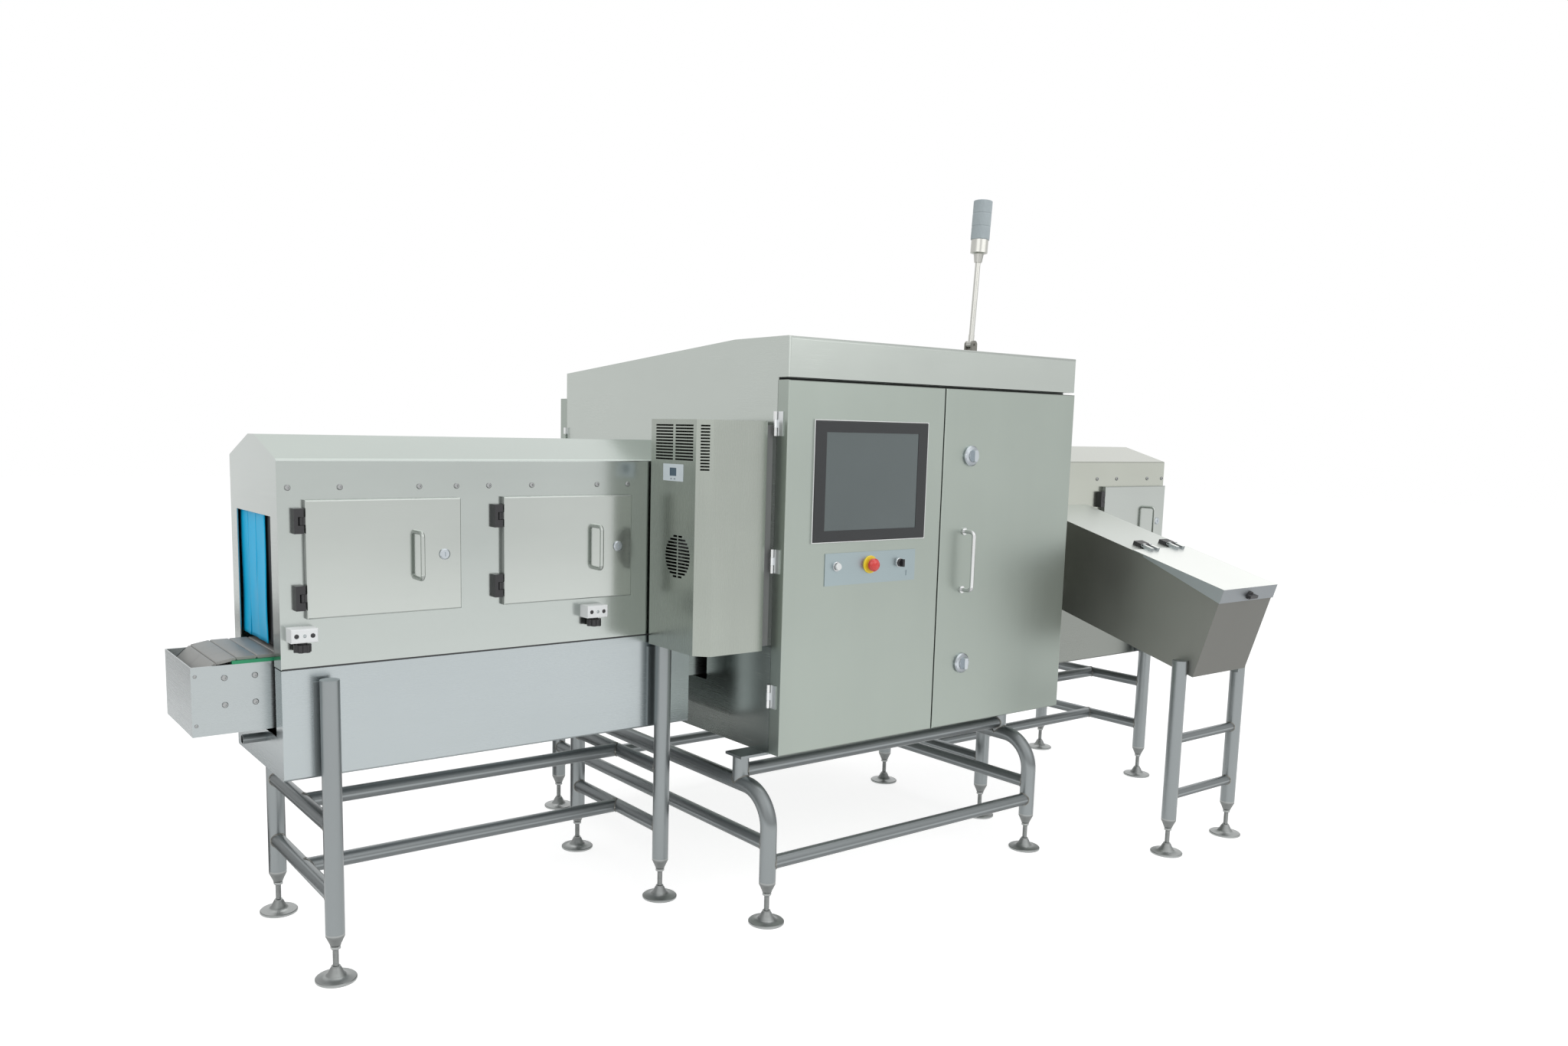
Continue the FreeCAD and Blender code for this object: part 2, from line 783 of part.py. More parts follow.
def screen_housing():
    x0 = cabinet_left + screen_left
    x1 = x0 + screen_width
    bezel = block(x0, x1, door_face - screen_thickness, door_face, screen_low, screen_low + screen_height)
    front = [e for e in bezel.Edges if abs(e.BoundBox.YMax - door_face + screen_thickness) < 0.01]
    bezel = bezel.makeChamfer(2.0, front)
    pc = pc_box(0)
    rear = block(pc[0], pc[1], door_face - 1, door_face + pc_depth, pc[2], pc[3])
    g = glass_box(running_gap)
    pocket = block(g[0], g[1], door_face - screen_thickness - 1, door_face - screen_thickness + glass_thickness,
                   g[2], g[3])
    return joined([bezel, rear]).cut(pocket)


def screen_glass():
    g = glass_box(0)
    face = door_face - screen_thickness + 1
    return block(g[0], g[1], face, door_face - screen_thickness + glass_thickness, g[2], g[3])


def control_plate():
    x0 = cabinet_left + plate_left
    face = door_face - plate_thickness
    plate = block(x0, x0 + plate_width, face, door_face, plate_low, plate_low + plate_height)
    holes = []
    for x in button_stations():
        start = Vector(x, face - 1, button_height)
        holes.append(rod(start, start + Vector(0, plate_thickness + 2, 0), button_hole_radius - 1))
    port_x = cabinet_left + selector_from_left + 30
    port_low = plate_low + 16
    holes.append(block(port_x - 3, port_x + 3, face - 1, door_face - 0.5, port_low, port_low + 17))
    return plate.cut(holes)


plate_face = door_face - plate_thickness
stem_radius = 8.0


def collar_at(x, rim):
    """Fixed sleeve of a panel button, with its rim on the plate and its neck through the door."""
    base = Vector(x, plate_face, button_height)
    neck = button_hole_radius - 1 - running_gap
    bore = stem_radius + pin_play
    return turned([(bore, -22), (neck, -22), (neck, 0), (rim, 0), (rim, 3), (rim - 1, 4), (bore, 4)],
                  base, Vector(0, -1, 0))


def button_collars():
    start, stop, select = button_stations()
    return Part.makeCompound([collar_at(start, 15.0), collar_at(stop, 28.0), collar_at(select, 15.0)])


def estop_button():
    base = Vector(button_stations()[1], plate_face, button_height)
    profile = [(0, -24), (stem_radius, -24), (stem_radius, 10), (20, 13), (20.5, 22), (16, 28), (8, 31),
               (0, 32)]
    return turned(profile, base, Vector(0, -1, 0))


def start_button():
    base = Vector(button_stations()[0], plate_face, button_height)
    return turned([(0, -24), (stem_radius, -24), (stem_radius, 8.5), (11, 8.5), (11, 12), (9.5, 14), (0, 14)],
                  base, Vector(0, -1, 0))


def mode_selector():
    x = button_stations()[2]
    base = Vector(x, plate_face, button_height)
    knob = turned([(0, -24), (stem_radius, -24), (stem_radius, 4.5), (13, 4.5), (13, 9), (11, 11), (0, 11)],
                  base, Vector(0, -1, 0))
    grip = block(x - 3.5, x + 3.5, plate_face - 22, plate_face - 10, button_height - 12, button_height + 12)
    return joined([knob, grip])


# Parts inside the cabinet

def scan_duct():
    wall = cabinet_wall
    x0 = cabinet_left + wall
    x1 = cabinet_right - wall
    duct = block(x0, x1, -duct_half_width, duct_half_width, duct_bottom, duct_top)
    half = duct_half_width - wall
    hollow = block(x0 - 1, x1 + 1, -half, half, duct_bottom + wall, duct_top - wall)
    slit = block(beam_x - beam_slit_half, beam_x + beam_slit_half, -beam_slit_reach, beam_slit_reach,
                 duct_top - wall - 1, duct_top + 1)
    return duct.cut([hollow, slit])


def xray_generator():
    """Oil-filled tank with a finned cooler and a collimator cone over the slit in the duct."""
    half_x = tank_length / 2
    half_y = tank_width / 2
    low = duct_top + tank_rise
    tank = block(beam_x - half_x, beam_x + half_x, -half_y, half_y, low, low + tank_height)
    wide = tank_length / 5
    narrow = tank_length / 10
    cone = prism_y([(beam_x - wide, low + 1), (beam_x - narrow, duct_top),
                    (beam_x + narrow, duct_top), (beam_x + wide, low + 1)], 10 - half_y, half_y - 10)
    hollow = block(beam_x - 12, beam_x + 12, 20 - half_y, half_y - 20, duct_top - 1, low - 15)
    legs = []
    for x in (beam_x - half_x + 10, beam_x + half_x - 30):
        for y in (5 - half_y, half_y - 25):
            legs.append(block(x, x + 20, y, y + 20, duct_top, low + 1))
    fins = []
    for number in range(11):
        y = 20 - half_y + number * (tank_width - 44) / 10
        fins.append(block(beam_x - half_x - 20, beam_x - half_x + 1, y, y + 4,
                          low + 20, low + tank_height - 20))
    return joined([tank, cone] + legs + fins).cut(hollow)


def xray_detector():
    """Line detector under the carrying run, held between the side plates."""
    inner = conveyor_half_width - side_plate
    case = block(beam_x - detector_half, beam_x + detector_half, -inner, inner,
                 belt_axis_z - 60, belt_axis_z + 20)
    window = block(beam_x - 6, beam_x + 6, -detector_window_reach, detector_window_reach,
                   belt_axis_z + 14, belt_axis_z + 21)
    return case.cut(window)


def control_computer():
    """Control computer in a vented sheet case with cooling fins, on the cabinet floor."""
    floor = cabinet_bottom + cabinet_wall
    top = floor + computer_height
    x0 = cabinet_left + computer_offset
    x1 = x0 + computer_width
    y0 = cabinet_front + computer_front_gap
    y1 = y0 + computer_depth
    case = block(x0, x1, y0, y1, floor, top)
    case = case.cut(block(x0 + sheet, x1 - sheet, y0 + sheet, y1 - sheet, floor + sheet, top - sheet))
    vents = []
    for number in range(14):
        x = x0 + 40 + number * (computer_width - 80) / 13
        vents.append(block(x, x + 8, y0 + 40, y1 - 40, top - sheet - 1, top + 1))
    fins = []
    for number in range(11):
        x = x0 + 20 + number * (computer_width - 46) / 10
        fins.append(block(x, x + 6, y0 - 15, y0 + 1, floor + 30, top - 30))
    return joined([case.cut(vents)] + fins)


# Cooling unit

def cooler_outline(inset):
    """(X, Y) outline of the cooler's casing with its cut front corner."""
    back_x = cabinet_left - cooler_gap
    front_x = back_x - cooler_depth + inset
    front_y = cooler_front + inset
    cut = cooler_chamfer - inset * (2 - math.sqrt(2))
    open_back = back_x - inset
    return [(front_x, cooler_back - inset), (front_x, front_y + cut), (front_x + cut, front_y),
            (open_back, front_y), (open_back, cooler_back - inset)]


def cooler_housing():
    """Sheet casing, open to the wall, with louvres on two faces and a slotted round grille."""
    shell = prism_z(cooler_outline(0), cooler_bottom, cooler_top)
    shell = bent_edges(shell, "z", cooler_bend, lambda bounds: bounds.XMax < cabinet_left - cooler_gap - 1)
    hollow = prism_z(cooler_outline(cooler_sheet), cooler_bottom + cooler_sheet, cooler_top - cooler_sheet)
    front_x = cabinet_left - cooler_gap - cooler_depth
    back_x = cabinet_left - cooler_gap
    margin = cooler_flange
    mouth = block(back_x - cooler_sheet - 1, back_x + 1, cooler_front + margin, cooler_back - margin,
                  cooler_bottom + margin, cooler_top - margin)
    cuts = [hollow, mouth]
    rows = 12
    slot = 5.0
    pitch = 9.0
    top_slot = cooler_top - 15
    columns = [(cooler_front + cooler_chamfer + 14, 92.0), (cooler_front + cooler_chamfer + 118, 92.0)]
    for row in range(rows):
        z = top_slot - row * pitch
        for y, width in columns:
            cuts.append(block(front_x - 1, front_x + cooler_sheet + 1, y, y + width, z - slot, z))
    across = Vector(1, -1, 0).normalize()
    inward = Vector(1, 1, 0).normalize()
    middle = Vector(front_x + cooler_chamfer / 2, cooler_front + cooler_chamfer / 2, 0)
    half = cooler_chamfer * 0.36
    for row in range(rows + 3):
        z = top_slot - row * pitch
        corners = [middle - across * half - inward * 3, middle + across * half - inward * 3,
                   middle + across * half + inward * 5, middle - across * half + inward * 5]
        cuts.append(prism_z([(p.x, p.y) for p in corners], z - slot, z))
    for row in range(-6, 7):
        z = fan_centre_z + row * 10.0
        half = math.sqrt(fan_radius * fan_radius * 1.15 - (row * 10.0) ** 2)
        for y0, y1 in ((fan_centre_y - half, fan_centre_y - 3), (fan_centre_y + 3, fan_centre_y + half)):
            cuts.append(block(front_x - 1, front_x + cooler_sheet + 1, y0, y1, z - 3, z + 3))
    return shell.cut(cuts)


def cooler_frame():
    """Spacer frame between cooler and cabinet wall, with the plate and arm that carry the fan motor."""
    back_x = cabinet_left - cooler_gap
    inset = 12.0
    ring = block(back_x, cabinet_left, cooler_front + inset, cooler_back - inset,
                 cooler_bottom + inset, cooler_top - inset)
    rim = 18.0
    ring = ring.cut(block(back_x + sheet, cabinet_left + 1, cooler_front + inset + rim, cooler_back - inset - rim,
                          cooler_bottom + inset + rim, cooler_top - inset - rim))
    seat = Vector(back_x + 1, fan_centre_y, fan_centre_z)
    motor = rod(seat, Vector(fan_x() + 17, fan_centre_y, fan_centre_z), 26)
    shaft = rod(seat, Vector(fan_x() - 8, fan_centre_y, fan_centre_z), 4)
    return joined([ring, motor, shaft])


def fan_x():
    return cabinet_left - cooler_gap - cooler_depth + cooler_sheet + 20


def cooler_fan():
    """Hub with seven swept blades on the motor shaft."""
    centre = Vector(fan_x(), fan_centre_y, fan_centre_z)
    hub = rod(centre + Vector(-8, 0, 0), centre + Vector(14, 0, 0), 20)
    blades = []
    for number in range(7):
        blade = block(-2, 2, 18, fan_radius - 3, -13, 13)
        blade.rotate(Vector(0, 0, 0), Vector(0, 1, 0), 35)
        blade.rotate(Vector(0, 0, 0), Vector(1, 0, 0), number * 360 / 7)
        blade.translate(centre + Vector(3, 0, 0))
        blades.append(blade)
    bore = rod(centre + Vector(-20, 0, 0), centre + Vector(20, 0, 0), 4 + pin_play)
    return joined([hub] + blades).cut(bore)


def cooler_display():
    x = cabinet_left - cooler_gap - cooler_depth
    y = cooler_front + cooler_chamfer + display_from_chamfer
    top = cooler_top - display_drop
    low = top - display_height
    plate = block(x - 2, x, y - display_width / 2, y + display_width / 2, low, top)
    return plate.cut(block(x - 3, x - 1.2, y - 18, y + 14, low + 14, top - 12))


# Tunnel doors

def hinge_axis(door_left):
    """X and Y of a tunnel door's hinge line."""
    return door_left - 10.0, -tunnel_half_width - 13.0


def block_hinge_heights():
    return [tunnel_door_bottom + 55, tunnel_door_bottom + tunnel_door_height - 53]


def hinge_blocks():
    """Moulded hinge blocks with their pins, on the tunnels and on the chute's fixed top."""
    pieces = []
    for left in infeed_door_lefts() + [outfeed_door_left()]:
        axis_x, axis_y = hinge_axis(left)
        for z in block_hinge_heights():
            low = z - block_hinge_height / 2
            body = block(left - 4 - block_hinge_width, left - 4, -tunnel_half_width - block_hinge_depth,
                         -tunnel_half_width, low, low + block_hinge_height)
            slot = block(axis_x - 8, left, -tunnel_half_width - block_hinge_depth - 1, -tunnel_half_width - 4,
                         z - lug_height / 2 - 1, z + lug_height / 2 + 1)
            pin = rod(Vector(axis_x, axis_y, low + 2), Vector(axis_x, axis_y, low + block_hinge_height - 2),
                      hinge_pin_radius)
            pieces.append(joined([body.cut(slot), pin]))
    pieces += chute_hinge_blocks()
    return Part.makeCompound(pieces)


lug_height = 20.0


def tunnel_door(door_left):
    """Folded door pan with hinge lugs and a welded bow handle."""
    front = -tunnel_half_width - 1 - tunnel_door_depth
    z0 = tunnel_door_bottom
    pan = tray(door_left, door_left + tunnel_door_width, z0, z0 + tunnel_door_height,
               front, tunnel_door_depth, sheet)
    lock_x = door_left + cam_lock_offset
    lock_z = z0 + tunnel_door_height / 2
    start = Vector(lock_x, front - 1, lock_z)
    pan = pan.cut(rod(start, start + Vector(0, sheet + 2, 0), cam_shaft_radius + pin_play))
    axis_x, axis_y = hinge_axis(door_left)
    lugs = []
    for z in block_hinge_heights():
        low = z - lug_height / 2
        arm = block(axis_x, door_left + 1, axis_y - 3, axis_y + 3, low, low + lug_height)
        ring = rod(Vector(axis_x, axis_y, low), Vector(axis_x, axis_y, low + lug_height), 5.5)
        hole = rod(Vector(axis_x, axis_y, low - 1), Vector(axis_x, axis_y, low + lug_height + 1),
                   hinge_pin_radius + pin_play)
        lugs.append(joined([arm, ring]).cut(hole))
    handle = bar_handle(door_left + tunnel_handle_offset, front, -1, lock_z - tunnel_handle_length / 2,
                        lock_z + tunnel_handle_length / 2, tunnel_handle_reach, tunnel_handle_radius)
    return joined([pan, handle] + lugs)


cam_shaft_radius = 6.0


def cam_lock(door_left):
    """Key-turned cam lock: head with a key slot, barrel, and cam that turns behind the hood's edge."""
    front = -tunnel_half_width - 1 - tunnel_door_depth
    x = door_left + cam_lock_offset
    z = tunnel_door_bottom + tunnel_door_height / 2
    base = Vector(x, front - running_gap, z)
    r = cam_lock_radius
    head = turned([(0, 0), (r, 0), (r, 3), (r - 3, 5), (0, 5)], base, Vector(0, -1, 0))
    slot = block(x - 1.5, x + 1.5, base.y - 6, base.y - 2.5, z - 6, z + 6)
    y0 = -tunnel_inner + 1.5
    barrel = rod(Vector(x, base.y - 1, z), Vector(x, y0 + 4, z), cam_shaft_radius)
    cam = block(x - 8, x + 8, y0, y0 + 4, z - 8, z + tunnel_door_width - cam_lock_offset - 4)
    return joined([head.cut(slot), barrel, cam])


# Guide rail

def clamp_blocks():
    pieces = []
    half = clamp_width / 2
    for x in clamp_stations():
        body = block(x - half, x + half, -tunnel_half_width - clamp_depth, -tunnel_half_width,
                     clamp_height - clamp_half_height, clamp_height + clamp_half_height)
        edges = [e for e in body.Edges if abs(e.BoundBox.YMax + tunnel_half_width + clamp_depth) < 0.01]
        body = body.makeFillet(3.0, edges)
        holes = []
        for rod_x in (x - clamp_width * 0.3, x + clamp_width * 0.3):
            start = Vector(rod_x, -tunnel_half_width - clamp_depth - 1, clamp_height)
            holes.append(rod(start, start + Vector(0, clamp_depth + 2, 0), rail_rod_radius + pin_play))
        knob_y = -tunnel_half_width - clamp_depth / 2
        start = Vector(x, knob_y, clamp_height - clamp_half_height - 1)
        holes.append(rod(start, start + Vector(0, 0, 16), 4 + pin_play))
        pieces.append(body.cut(holes))
    return Part.makeCompound(pieces)


def guide_rail():
    """Flat rail along the infeed belt on four rods that slide in the clamp blocks."""
    first, last = clamp_stations()
    y0 = -tunnel_inner + rail_reach
    low = clamp_height - rail_half_height
    high = clamp_height + rail_half_height
    rail = block(first - rail_overhang, last + rail_run_out, y0, y0 + rail_thickness, low, high)
    rods = []
    for x in rail_rod_stations():
        start = Vector(x, -tunnel_half_width - clamp_depth + 4, clamp_height)
        rods.append(rod(start, Vector(x, y0 + 2, clamp_height), rail_rod_radius))
    return joined([rail] + rods)


def clamp_knob(x):
    """Six-lobed hand knob under a clamp block, with its threaded stud."""
    y = -tunnel_half_width - clamp_depth / 2
    top = clamp_height - clamp_half_height - running_gap
    body = rod(Vector(x, y, top - 26), Vector(x, y, top - 6), knob_radius)
    scoops = []
    for number in range(6):
        angle = math.radians(number * 60 + 30)
        ring = knob_radius + 3
        at = Vector(x + ring * math.cos(angle), y + ring * math.sin(angle), top - 30)
        scoops.append(Part.makeCylinder(7.5, 40, at))
    neck = rod(Vector(x, y, top - 8), Vector(x, y, top), 12)
    stud = rod(Vector(x, y, top - 8), Vector(x, y, top + 14), 4)
    return joined([body.cut(scoops), neck, stud])


# Conveyor

def conveyor_frame():
    """Side plates over the whole line, joined by cross tubes that reach the skirts."""
    outer = conveyor_half_width
    inner = outer - side_plate
    end = line_length / 2 - sheet
    plates = []
    for side in (-1, 1):
        ys = sorted((side * inner, side * outer))
        plates.append(block(-end, end, ys[0], ys[1], conveyor_bottom, conveyor_top))
    tubes = []
    for x in cross_tube_stations():
        start = Vector(x, -tunnel_inner, belt_axis_z)
        tubes.append(rod(start, Vector(x, tunnel_inner, belt_axis_z), cross_tube_radius))
    frame = joined(plates + tubes)
    seats = []
    depth = side_plate - seat_floor
    for x in (-belt_axis_x, belt_axis_x):
        for side in (-1, 1):
            start = Vector(x, side * (inner - 1), belt_axis_z)
            seats.append(rod(start, start + Vector(0, side * (depth + 1), 0), shaft_radius + pin_play))
    return frame.cut(seats)


def cross_tube_stations():
    near = tunnel_end - leg_inset
    infeed_far = cabinet_left - skirt_gap - cross_tube_inset
    outfeed_far = cabinet_right + skirt_gap + cross_tube_inset
    return [-near, infeed_far, outfeed_far, near]


def conveyor_end_boxes():
    """End plate and bottom plate that close each end of the conveyor."""
    pieces = []
    for side in (-1, 1):
        xs = sorted((side * line_length / 2, side * (line_length / 2 - sheet)))
        plate = block(xs[0], xs[1], -conveyor_half_width, conveyor_half_width, conveyor_bottom, conveyor_top)
        inner = conveyor_half_width - side_plate
        xs = sorted((side * (line_length / 2 - sheet), side * (tunnel_end + 5)))
        pan = block(xs[0], xs[1], -inner, inner, conveyor_bottom, conveyor_bottom + sheet)
        pieces.append(joined([plate, pan]))
    return Part.makeCompound(pieces)


strip_inner = conveyor_half_width + wear_strip_overhang - wear_strip_width


def wear_strips():
    """Low-friction strips on the side plates, under the edges of the carrying run."""
    top = belt_top - belt_thickness
    pieces = []
    for side in (-1, 1):
        ys = sorted((side * (conveyor_half_width + wear_strip_overhang), side * strip_inner))
        pieces.append(block(-belt_axis_x, belt_axis_x, ys[0], ys[1], conveyor_top, top))
    return Part.makeCompound(pieces)


def conveyor_belt():
    """Endless modular belt: a band round both turns with a hinge groove between links."""
    outer = turn_radius
    inner = turn_radius - belt_thickness

    def band(radius):
        left = Vector(-belt_axis_x, 0, belt_axis_z)
        right = Vector(belt_axis_x, 0, belt_axis_z)
        up = Vector(0, 0, radius)
        away = Vector(radius, 0, 0)
        edges = [
            Part.LineSegment(left + up, right + up).toShape(),
            Part.Arc(right + up, right + away, right - up).toShape(),
            Part.LineSegment(right - up, left - up).toShape(),
            Part.Arc(left - up, left - away, left + up).toShape(),
        ]
        loop = Part.Face(Part.Wire(edges))
        loop.translate(Vector(0, -belt_half_width, 0))
        return loop.extrude(Vector(0, 2 * belt_half_width, 0))

    belt = band(outer).cut(band(inner))
    count = int(2 * belt_axis_x / link_pitch)
    grooves = []
    for number in range(count + 1):
        x = -belt_axis_x + number * link_pitch
        half = link_groove / 2
        corners = [(x - half, belt_top + 1), (x + half, belt_top + 1), (x, belt_top - link_groove)]
        grooves.append(prism_y(corners, -belt_half_width - 1, belt_half_width + 1))
    return belt.cut(grooves)


def drive_drum():
    """Motor drum inside the belt's outfeed turn."""
    return belt_roller(belt_axis_x, 0)


def idler_roller():
    """Idler shaft with four toothed wheels inside the belt's infeed turn."""
    return belt_roller(-belt_axis_x, 4)


def belt_roller(x, wheels):
    journal = conveyor_half_width - seat_floor - running_gap
    shaft = rod(Vector(x, -journal, belt_axis_z), Vector(x, journal, belt_axis_z), shaft_radius)
    reach = strip_inner - 2
    if not wheels:
        drum = rod(Vector(x, -reach, belt_axis_z), Vector(x, reach, belt_axis_z), drum_radius)
        return joined([shaft, drum])
    pieces = [shaft]
    for number in range(wheels):
        y = -reach + 20 + number * (2 * reach - 40) / (wheels - 1)
        root = drum_radius - link_tooth
        corners = []
        for tooth in range(12):
            for share, radius in ((0.0, drum_radius), (0.5, drum_radius), (0.62, root), (0.88, root)):
                angle = math.radians(30 * (tooth + share))
                corners.append((x + radius * math.cos(angle), belt_axis_z + radius * math.sin(angle)))
        pieces.append(prism_y(corners, y - 12, y + 12))
    return joined(pieces)


def screw_head(at, out, radius):
    """Low round head on a sheet."""
    return rod(at, at + out * radius * 0.45, radius)


def panel_screws():
    """Screws of the hoods' inner frames and of the conveyor's end bearings."""
    pieces = []
    front = Vector(0, -1, 0)
    z = tunnel_door_bottom + tunnel_door_height + 31
    for left in infeed_door_lefts() + [outfeed_door_left()]:
        for offset in (-37, 95, tunnel_door_width - 111, tunnel_door_width - 5):
            pieces.append(screw_head(Vector(left + offset, -tunnel_half_width, z), front, 8))
    for side in (-1, 1):
        for x in (belt_axis_x - 55, belt_axis_x + 20):
            for dz in (-29, 41):
                pieces.append(screw_head(Vector(side * x, -conveyor_half_width, belt_axis_z + dz), front, 9))
                pieces.append(screw_head(Vector(side * x, conveyor_half_width, belt_axis_z + dz), -front, 9))
    return Part.makeCompound(pieces)


# Reject chute and pusher

pusher_rod_radius = 8.0


def pusher_height():
    return belt_top + 80


def chute_top_z(y):
    return chute_tip_z + (y - chute_tip_y) * math.tan(math.radians(chute_slope))


def chute_bottom_z(y):
    slope = math.radians(chute_slope)
    return chute_top_z(y) - chute_depth / math.cos(slope)


def chute_corners(inset):
    """(Y, Z) outline of the chute's side, moved inwards by the sheet."""
    slope = math.radians(chute_slope)
    along = (math.cos(slope), math.sin(slope))
    down = (math.sin(slope), -math.cos(slope))
    depth = chute_depth - 2 * inset

    def at(distance, drop):
        y = chute_tip_y + along[0] * distance + down[0] * drop
        return y, chute_tip_z + along[1] * distance + down[1] * drop

    tip = at(inset, inset)
    toe = at(inset, inset + depth)
    back_y = -tunnel_half_width + (1 if inset else 0)
    drop = inset / math.cos(slope)
    return [tip, toe, (back_y, chute_bottom_z(back_y) + drop), (back_y, chute_top_z(back_y) - drop)]


def tilted(shape, y, z):
    """Turn a shape drawn flat at the origin onto the chute's slope at a point."""
    shape.rotate(Vector(0, 0, 0), Vector(1, 0, 0), chute_slope)
    shape.translate(Vector(0, y, z))
    return shape


def chute_box():
    """Sloping rectangular box from the tunnel's front, open under the lid."""
    half = chute_width / 2
    body = prism_x(chute_corners(0), chute_x - half, chute_x + half)
    hollow = prism_x(chute_corners(sheet), chute_x - half + sheet, chute_x + half - sheet)
    reach = (lid_hinge_y - chute_tip_y) / math.cos(math.radians(chute_slope))
    top_cut = block(-half + 16, half - 16, 16, reach - 24, -sheet * 2, 5)
    top_cut.translate(Vector(chute_x, 0, 0))
    top_cut = tilted(top_cut, chute_tip_y, chute_tip_z)
    return body.cut([hollow, top_cut])


def lid_axis():
    """Y and Z of the lid's hinge line, above the chute's top."""
    slope = math.radians(chute_slope)
    rise = sheet + 9.0
    return lid_hinge_y - rise * math.sin(slope), chute_top_z(lid_hinge_y) + rise * math.cos(slope)


def lid_hinge_stations():
    return [chute_x - 75, chute_x + 85]


def chute_hinge_blocks():
    """Fixed halves of the lid's two hinges, with the pin."""
    pieces = []
    for x in lid_hinge_stations():
        base = block(x - 26, x + 26, 8, 40, -sheet - 9, 3)
        ear = block(x - 10, x + 10, -1, 9, -4, 3)
        knuckle = rod(Vector(x - 10, 0, 0), Vector(x + 10, 0, 0), 6)
        pin = rod(Vector(x - 26, 0, 0), Vector(x + 26, 0, 0), hinge_pin_radius)
        y, z = lid_axis()
        pieces.append(tilted(joined([base, ear, knuckle, pin]), y, z))
    return pieces


def chute_lid():
    """Lid with tapering side flanges, a front flange and its hinge halves."""
    slope = math.radians(chute_slope)
    half = chute_width / 2
    reach = (lid_hinge_y - chute_tip_y) / math.cos(slope)
    gap = 1.0
    side = half + gap + sheet
    front = -reach - gap - sheet
    floor = -9.0 - sheet
    plate = block(chute_x - side, chute_x + side, front, -14, floor, floor + sheet)
    pieces = [plate]
    for way in (-1, 1):
        xs = sorted((chute_x + way * (half + gap), chute_x + way * side))
        corners = [(-60, floor + sheet), (front, floor + sheet), (front, floor - lid_flange),
                   (-60, floor - 6)]
        pieces.append(prism_x(corners, xs[0], xs[1]))
    nose = block(chute_x - side, chute_x + side, front, front + sheet, floor - lid_flange, floor + sheet)
    hole = rod(Vector(chute_x, front - 1, floor - 26), Vector(chute_x, front + sheet + 1, floor - 26), 5 + pin_play)
    pieces.append(nose.cut(hole))
    for x in lid_hinge_stations():
        for way in (-1, 1):
            xs = sorted((x + way * 10.5, x + way * 26))
            leaf = block(xs[0], xs[1], -40, 0, floor + sheet, 3)
            leaf = leaf.cut(block(xs[0] - 1, xs[1] + 1, -7, 1, floor, -5.5))
            barrel = rod(Vector(xs[0], 0, 0), Vector(xs[1], 0, 0), 6)
            hole = rod(Vector(xs[0] - 1, 0, 0), Vector(xs[1] + 1, 0, 0), hinge_pin_radius + pin_play)
            pieces.append(joined([leaf, barrel]).cut(hole))
    y, z = lid_axis()
    return tilted(joined(pieces), y, z)


def latch_place():
    """Centre of the latch on the front flange, and the flange's outward normal."""
    slope = math.radians(chute_slope)
    reach = (lid_hinge_y - chute_tip_y) / math.cos(slope)
    y, z = lid_axis()
    local_y = -reach - 1.0 - sheet
    local_z = -9.0 - sheet - 26
    return (y + local_y * math.cos(slope) - local_z * math.sin(slope),
            z + local_y * math.sin(slope) + local_z * math.cos(slope))


def chute_latch():
    """Quarter-turn T handle of the lid."""
    plate = rod(Vector(chute_x, -running_gap, 0), Vector(chute_x, -8, 0), 15)
    grip = block(chute_x - 24, chute_x + 24, -22, -7, -6, 6)
    grip = grip.makeFillet(4.0, [e for e in grip.Edges if e.BoundBox.YLength > 10])
    shaft = rod(Vector(chute_x, -2, 0), Vector(chute_x, sheet + running_gap, 0), 5)
    y, z = latch_place()
    return tilted(joined([plate, grip, shaft]), y, z)


def pusher_cylinder():
    """Air cylinder on the back of the outfeed tunnel."""
    z = pusher_height()
    y0 = tunnel_half_width
    length = pusher_stroke + cylinder_overrun
    half = pusher_flange_half
    flange = block(chute_x - half, chute_x + half, y0, y0 + 10, z - half, z + half)
    half = pusher_barrel_half
    barrel = block(chute_x - half, chute_x + half, y0 + 9, y0 + length, z - half, z + half)
    bore = rod(Vector(chute_x, y0 - 1, z), Vector(chute_x, y0 + length - 8, z), pusher_rod_radius + pin_play)
    return joined([flange, barrel]).cut(bore)


def pusher_plate():
    """Pusher face and its rod, pulled back against the tunnel's rear wall."""
    z = pusher_height()
    half = chute_width / 2 - pusher_side_gap
    y1 = tunnel_inner - pusher_wall_gap
    face = block(chute_x - half, chute_x + half, y1 - pusher_thickness, y1, belt_top + pusher_belt_gap,
                 z + pusher_rise)
    back = tunnel_half_width + pusher_stroke + cylinder_overrun / 2
    ram = rod(Vector(chute_x, y1 - 3, z), Vector(chute_x, back, z), pusher_rod_radius)
    boss = rod(Vector(chute_x, y1 - 3, z), Vector(chute_x, y1 + 5, z), 18)
    return joined([face, ram, boss])


# Stands

weld_land = 1.0


def add_tube(start, end, radius, start_stop, end_stop, bars, bores):
    """Add a straight tube; its bore stops short of the tubes that it is welded to."""
    way = (end - start).normalize()
    bar = rod(start, end, radius)
    bar.rotate(start, way, closing_line_turn)
    bars.append(bar)
    bores.append(rod(start + way * start_stop, end - way * end_stop, radius - tube_wall))


def add_rail(start, end, radius, crossing_radius, bars, bores):
    """Add a rail between two tubes of a crossing radius."""
    stop = crossing_radius + weld_land
    add_tube(start, end, radius, stop, stop, bars, bores)


def inner_leg_x(side):
    """X of the legs next to the cabinet: clear of it at the infeed, under it at the outfeed."""
    if side < 0:
        return cabinet_left - infeed_inner_leg_gap
    return cabinet_right - outfeed_inner_leg_inset


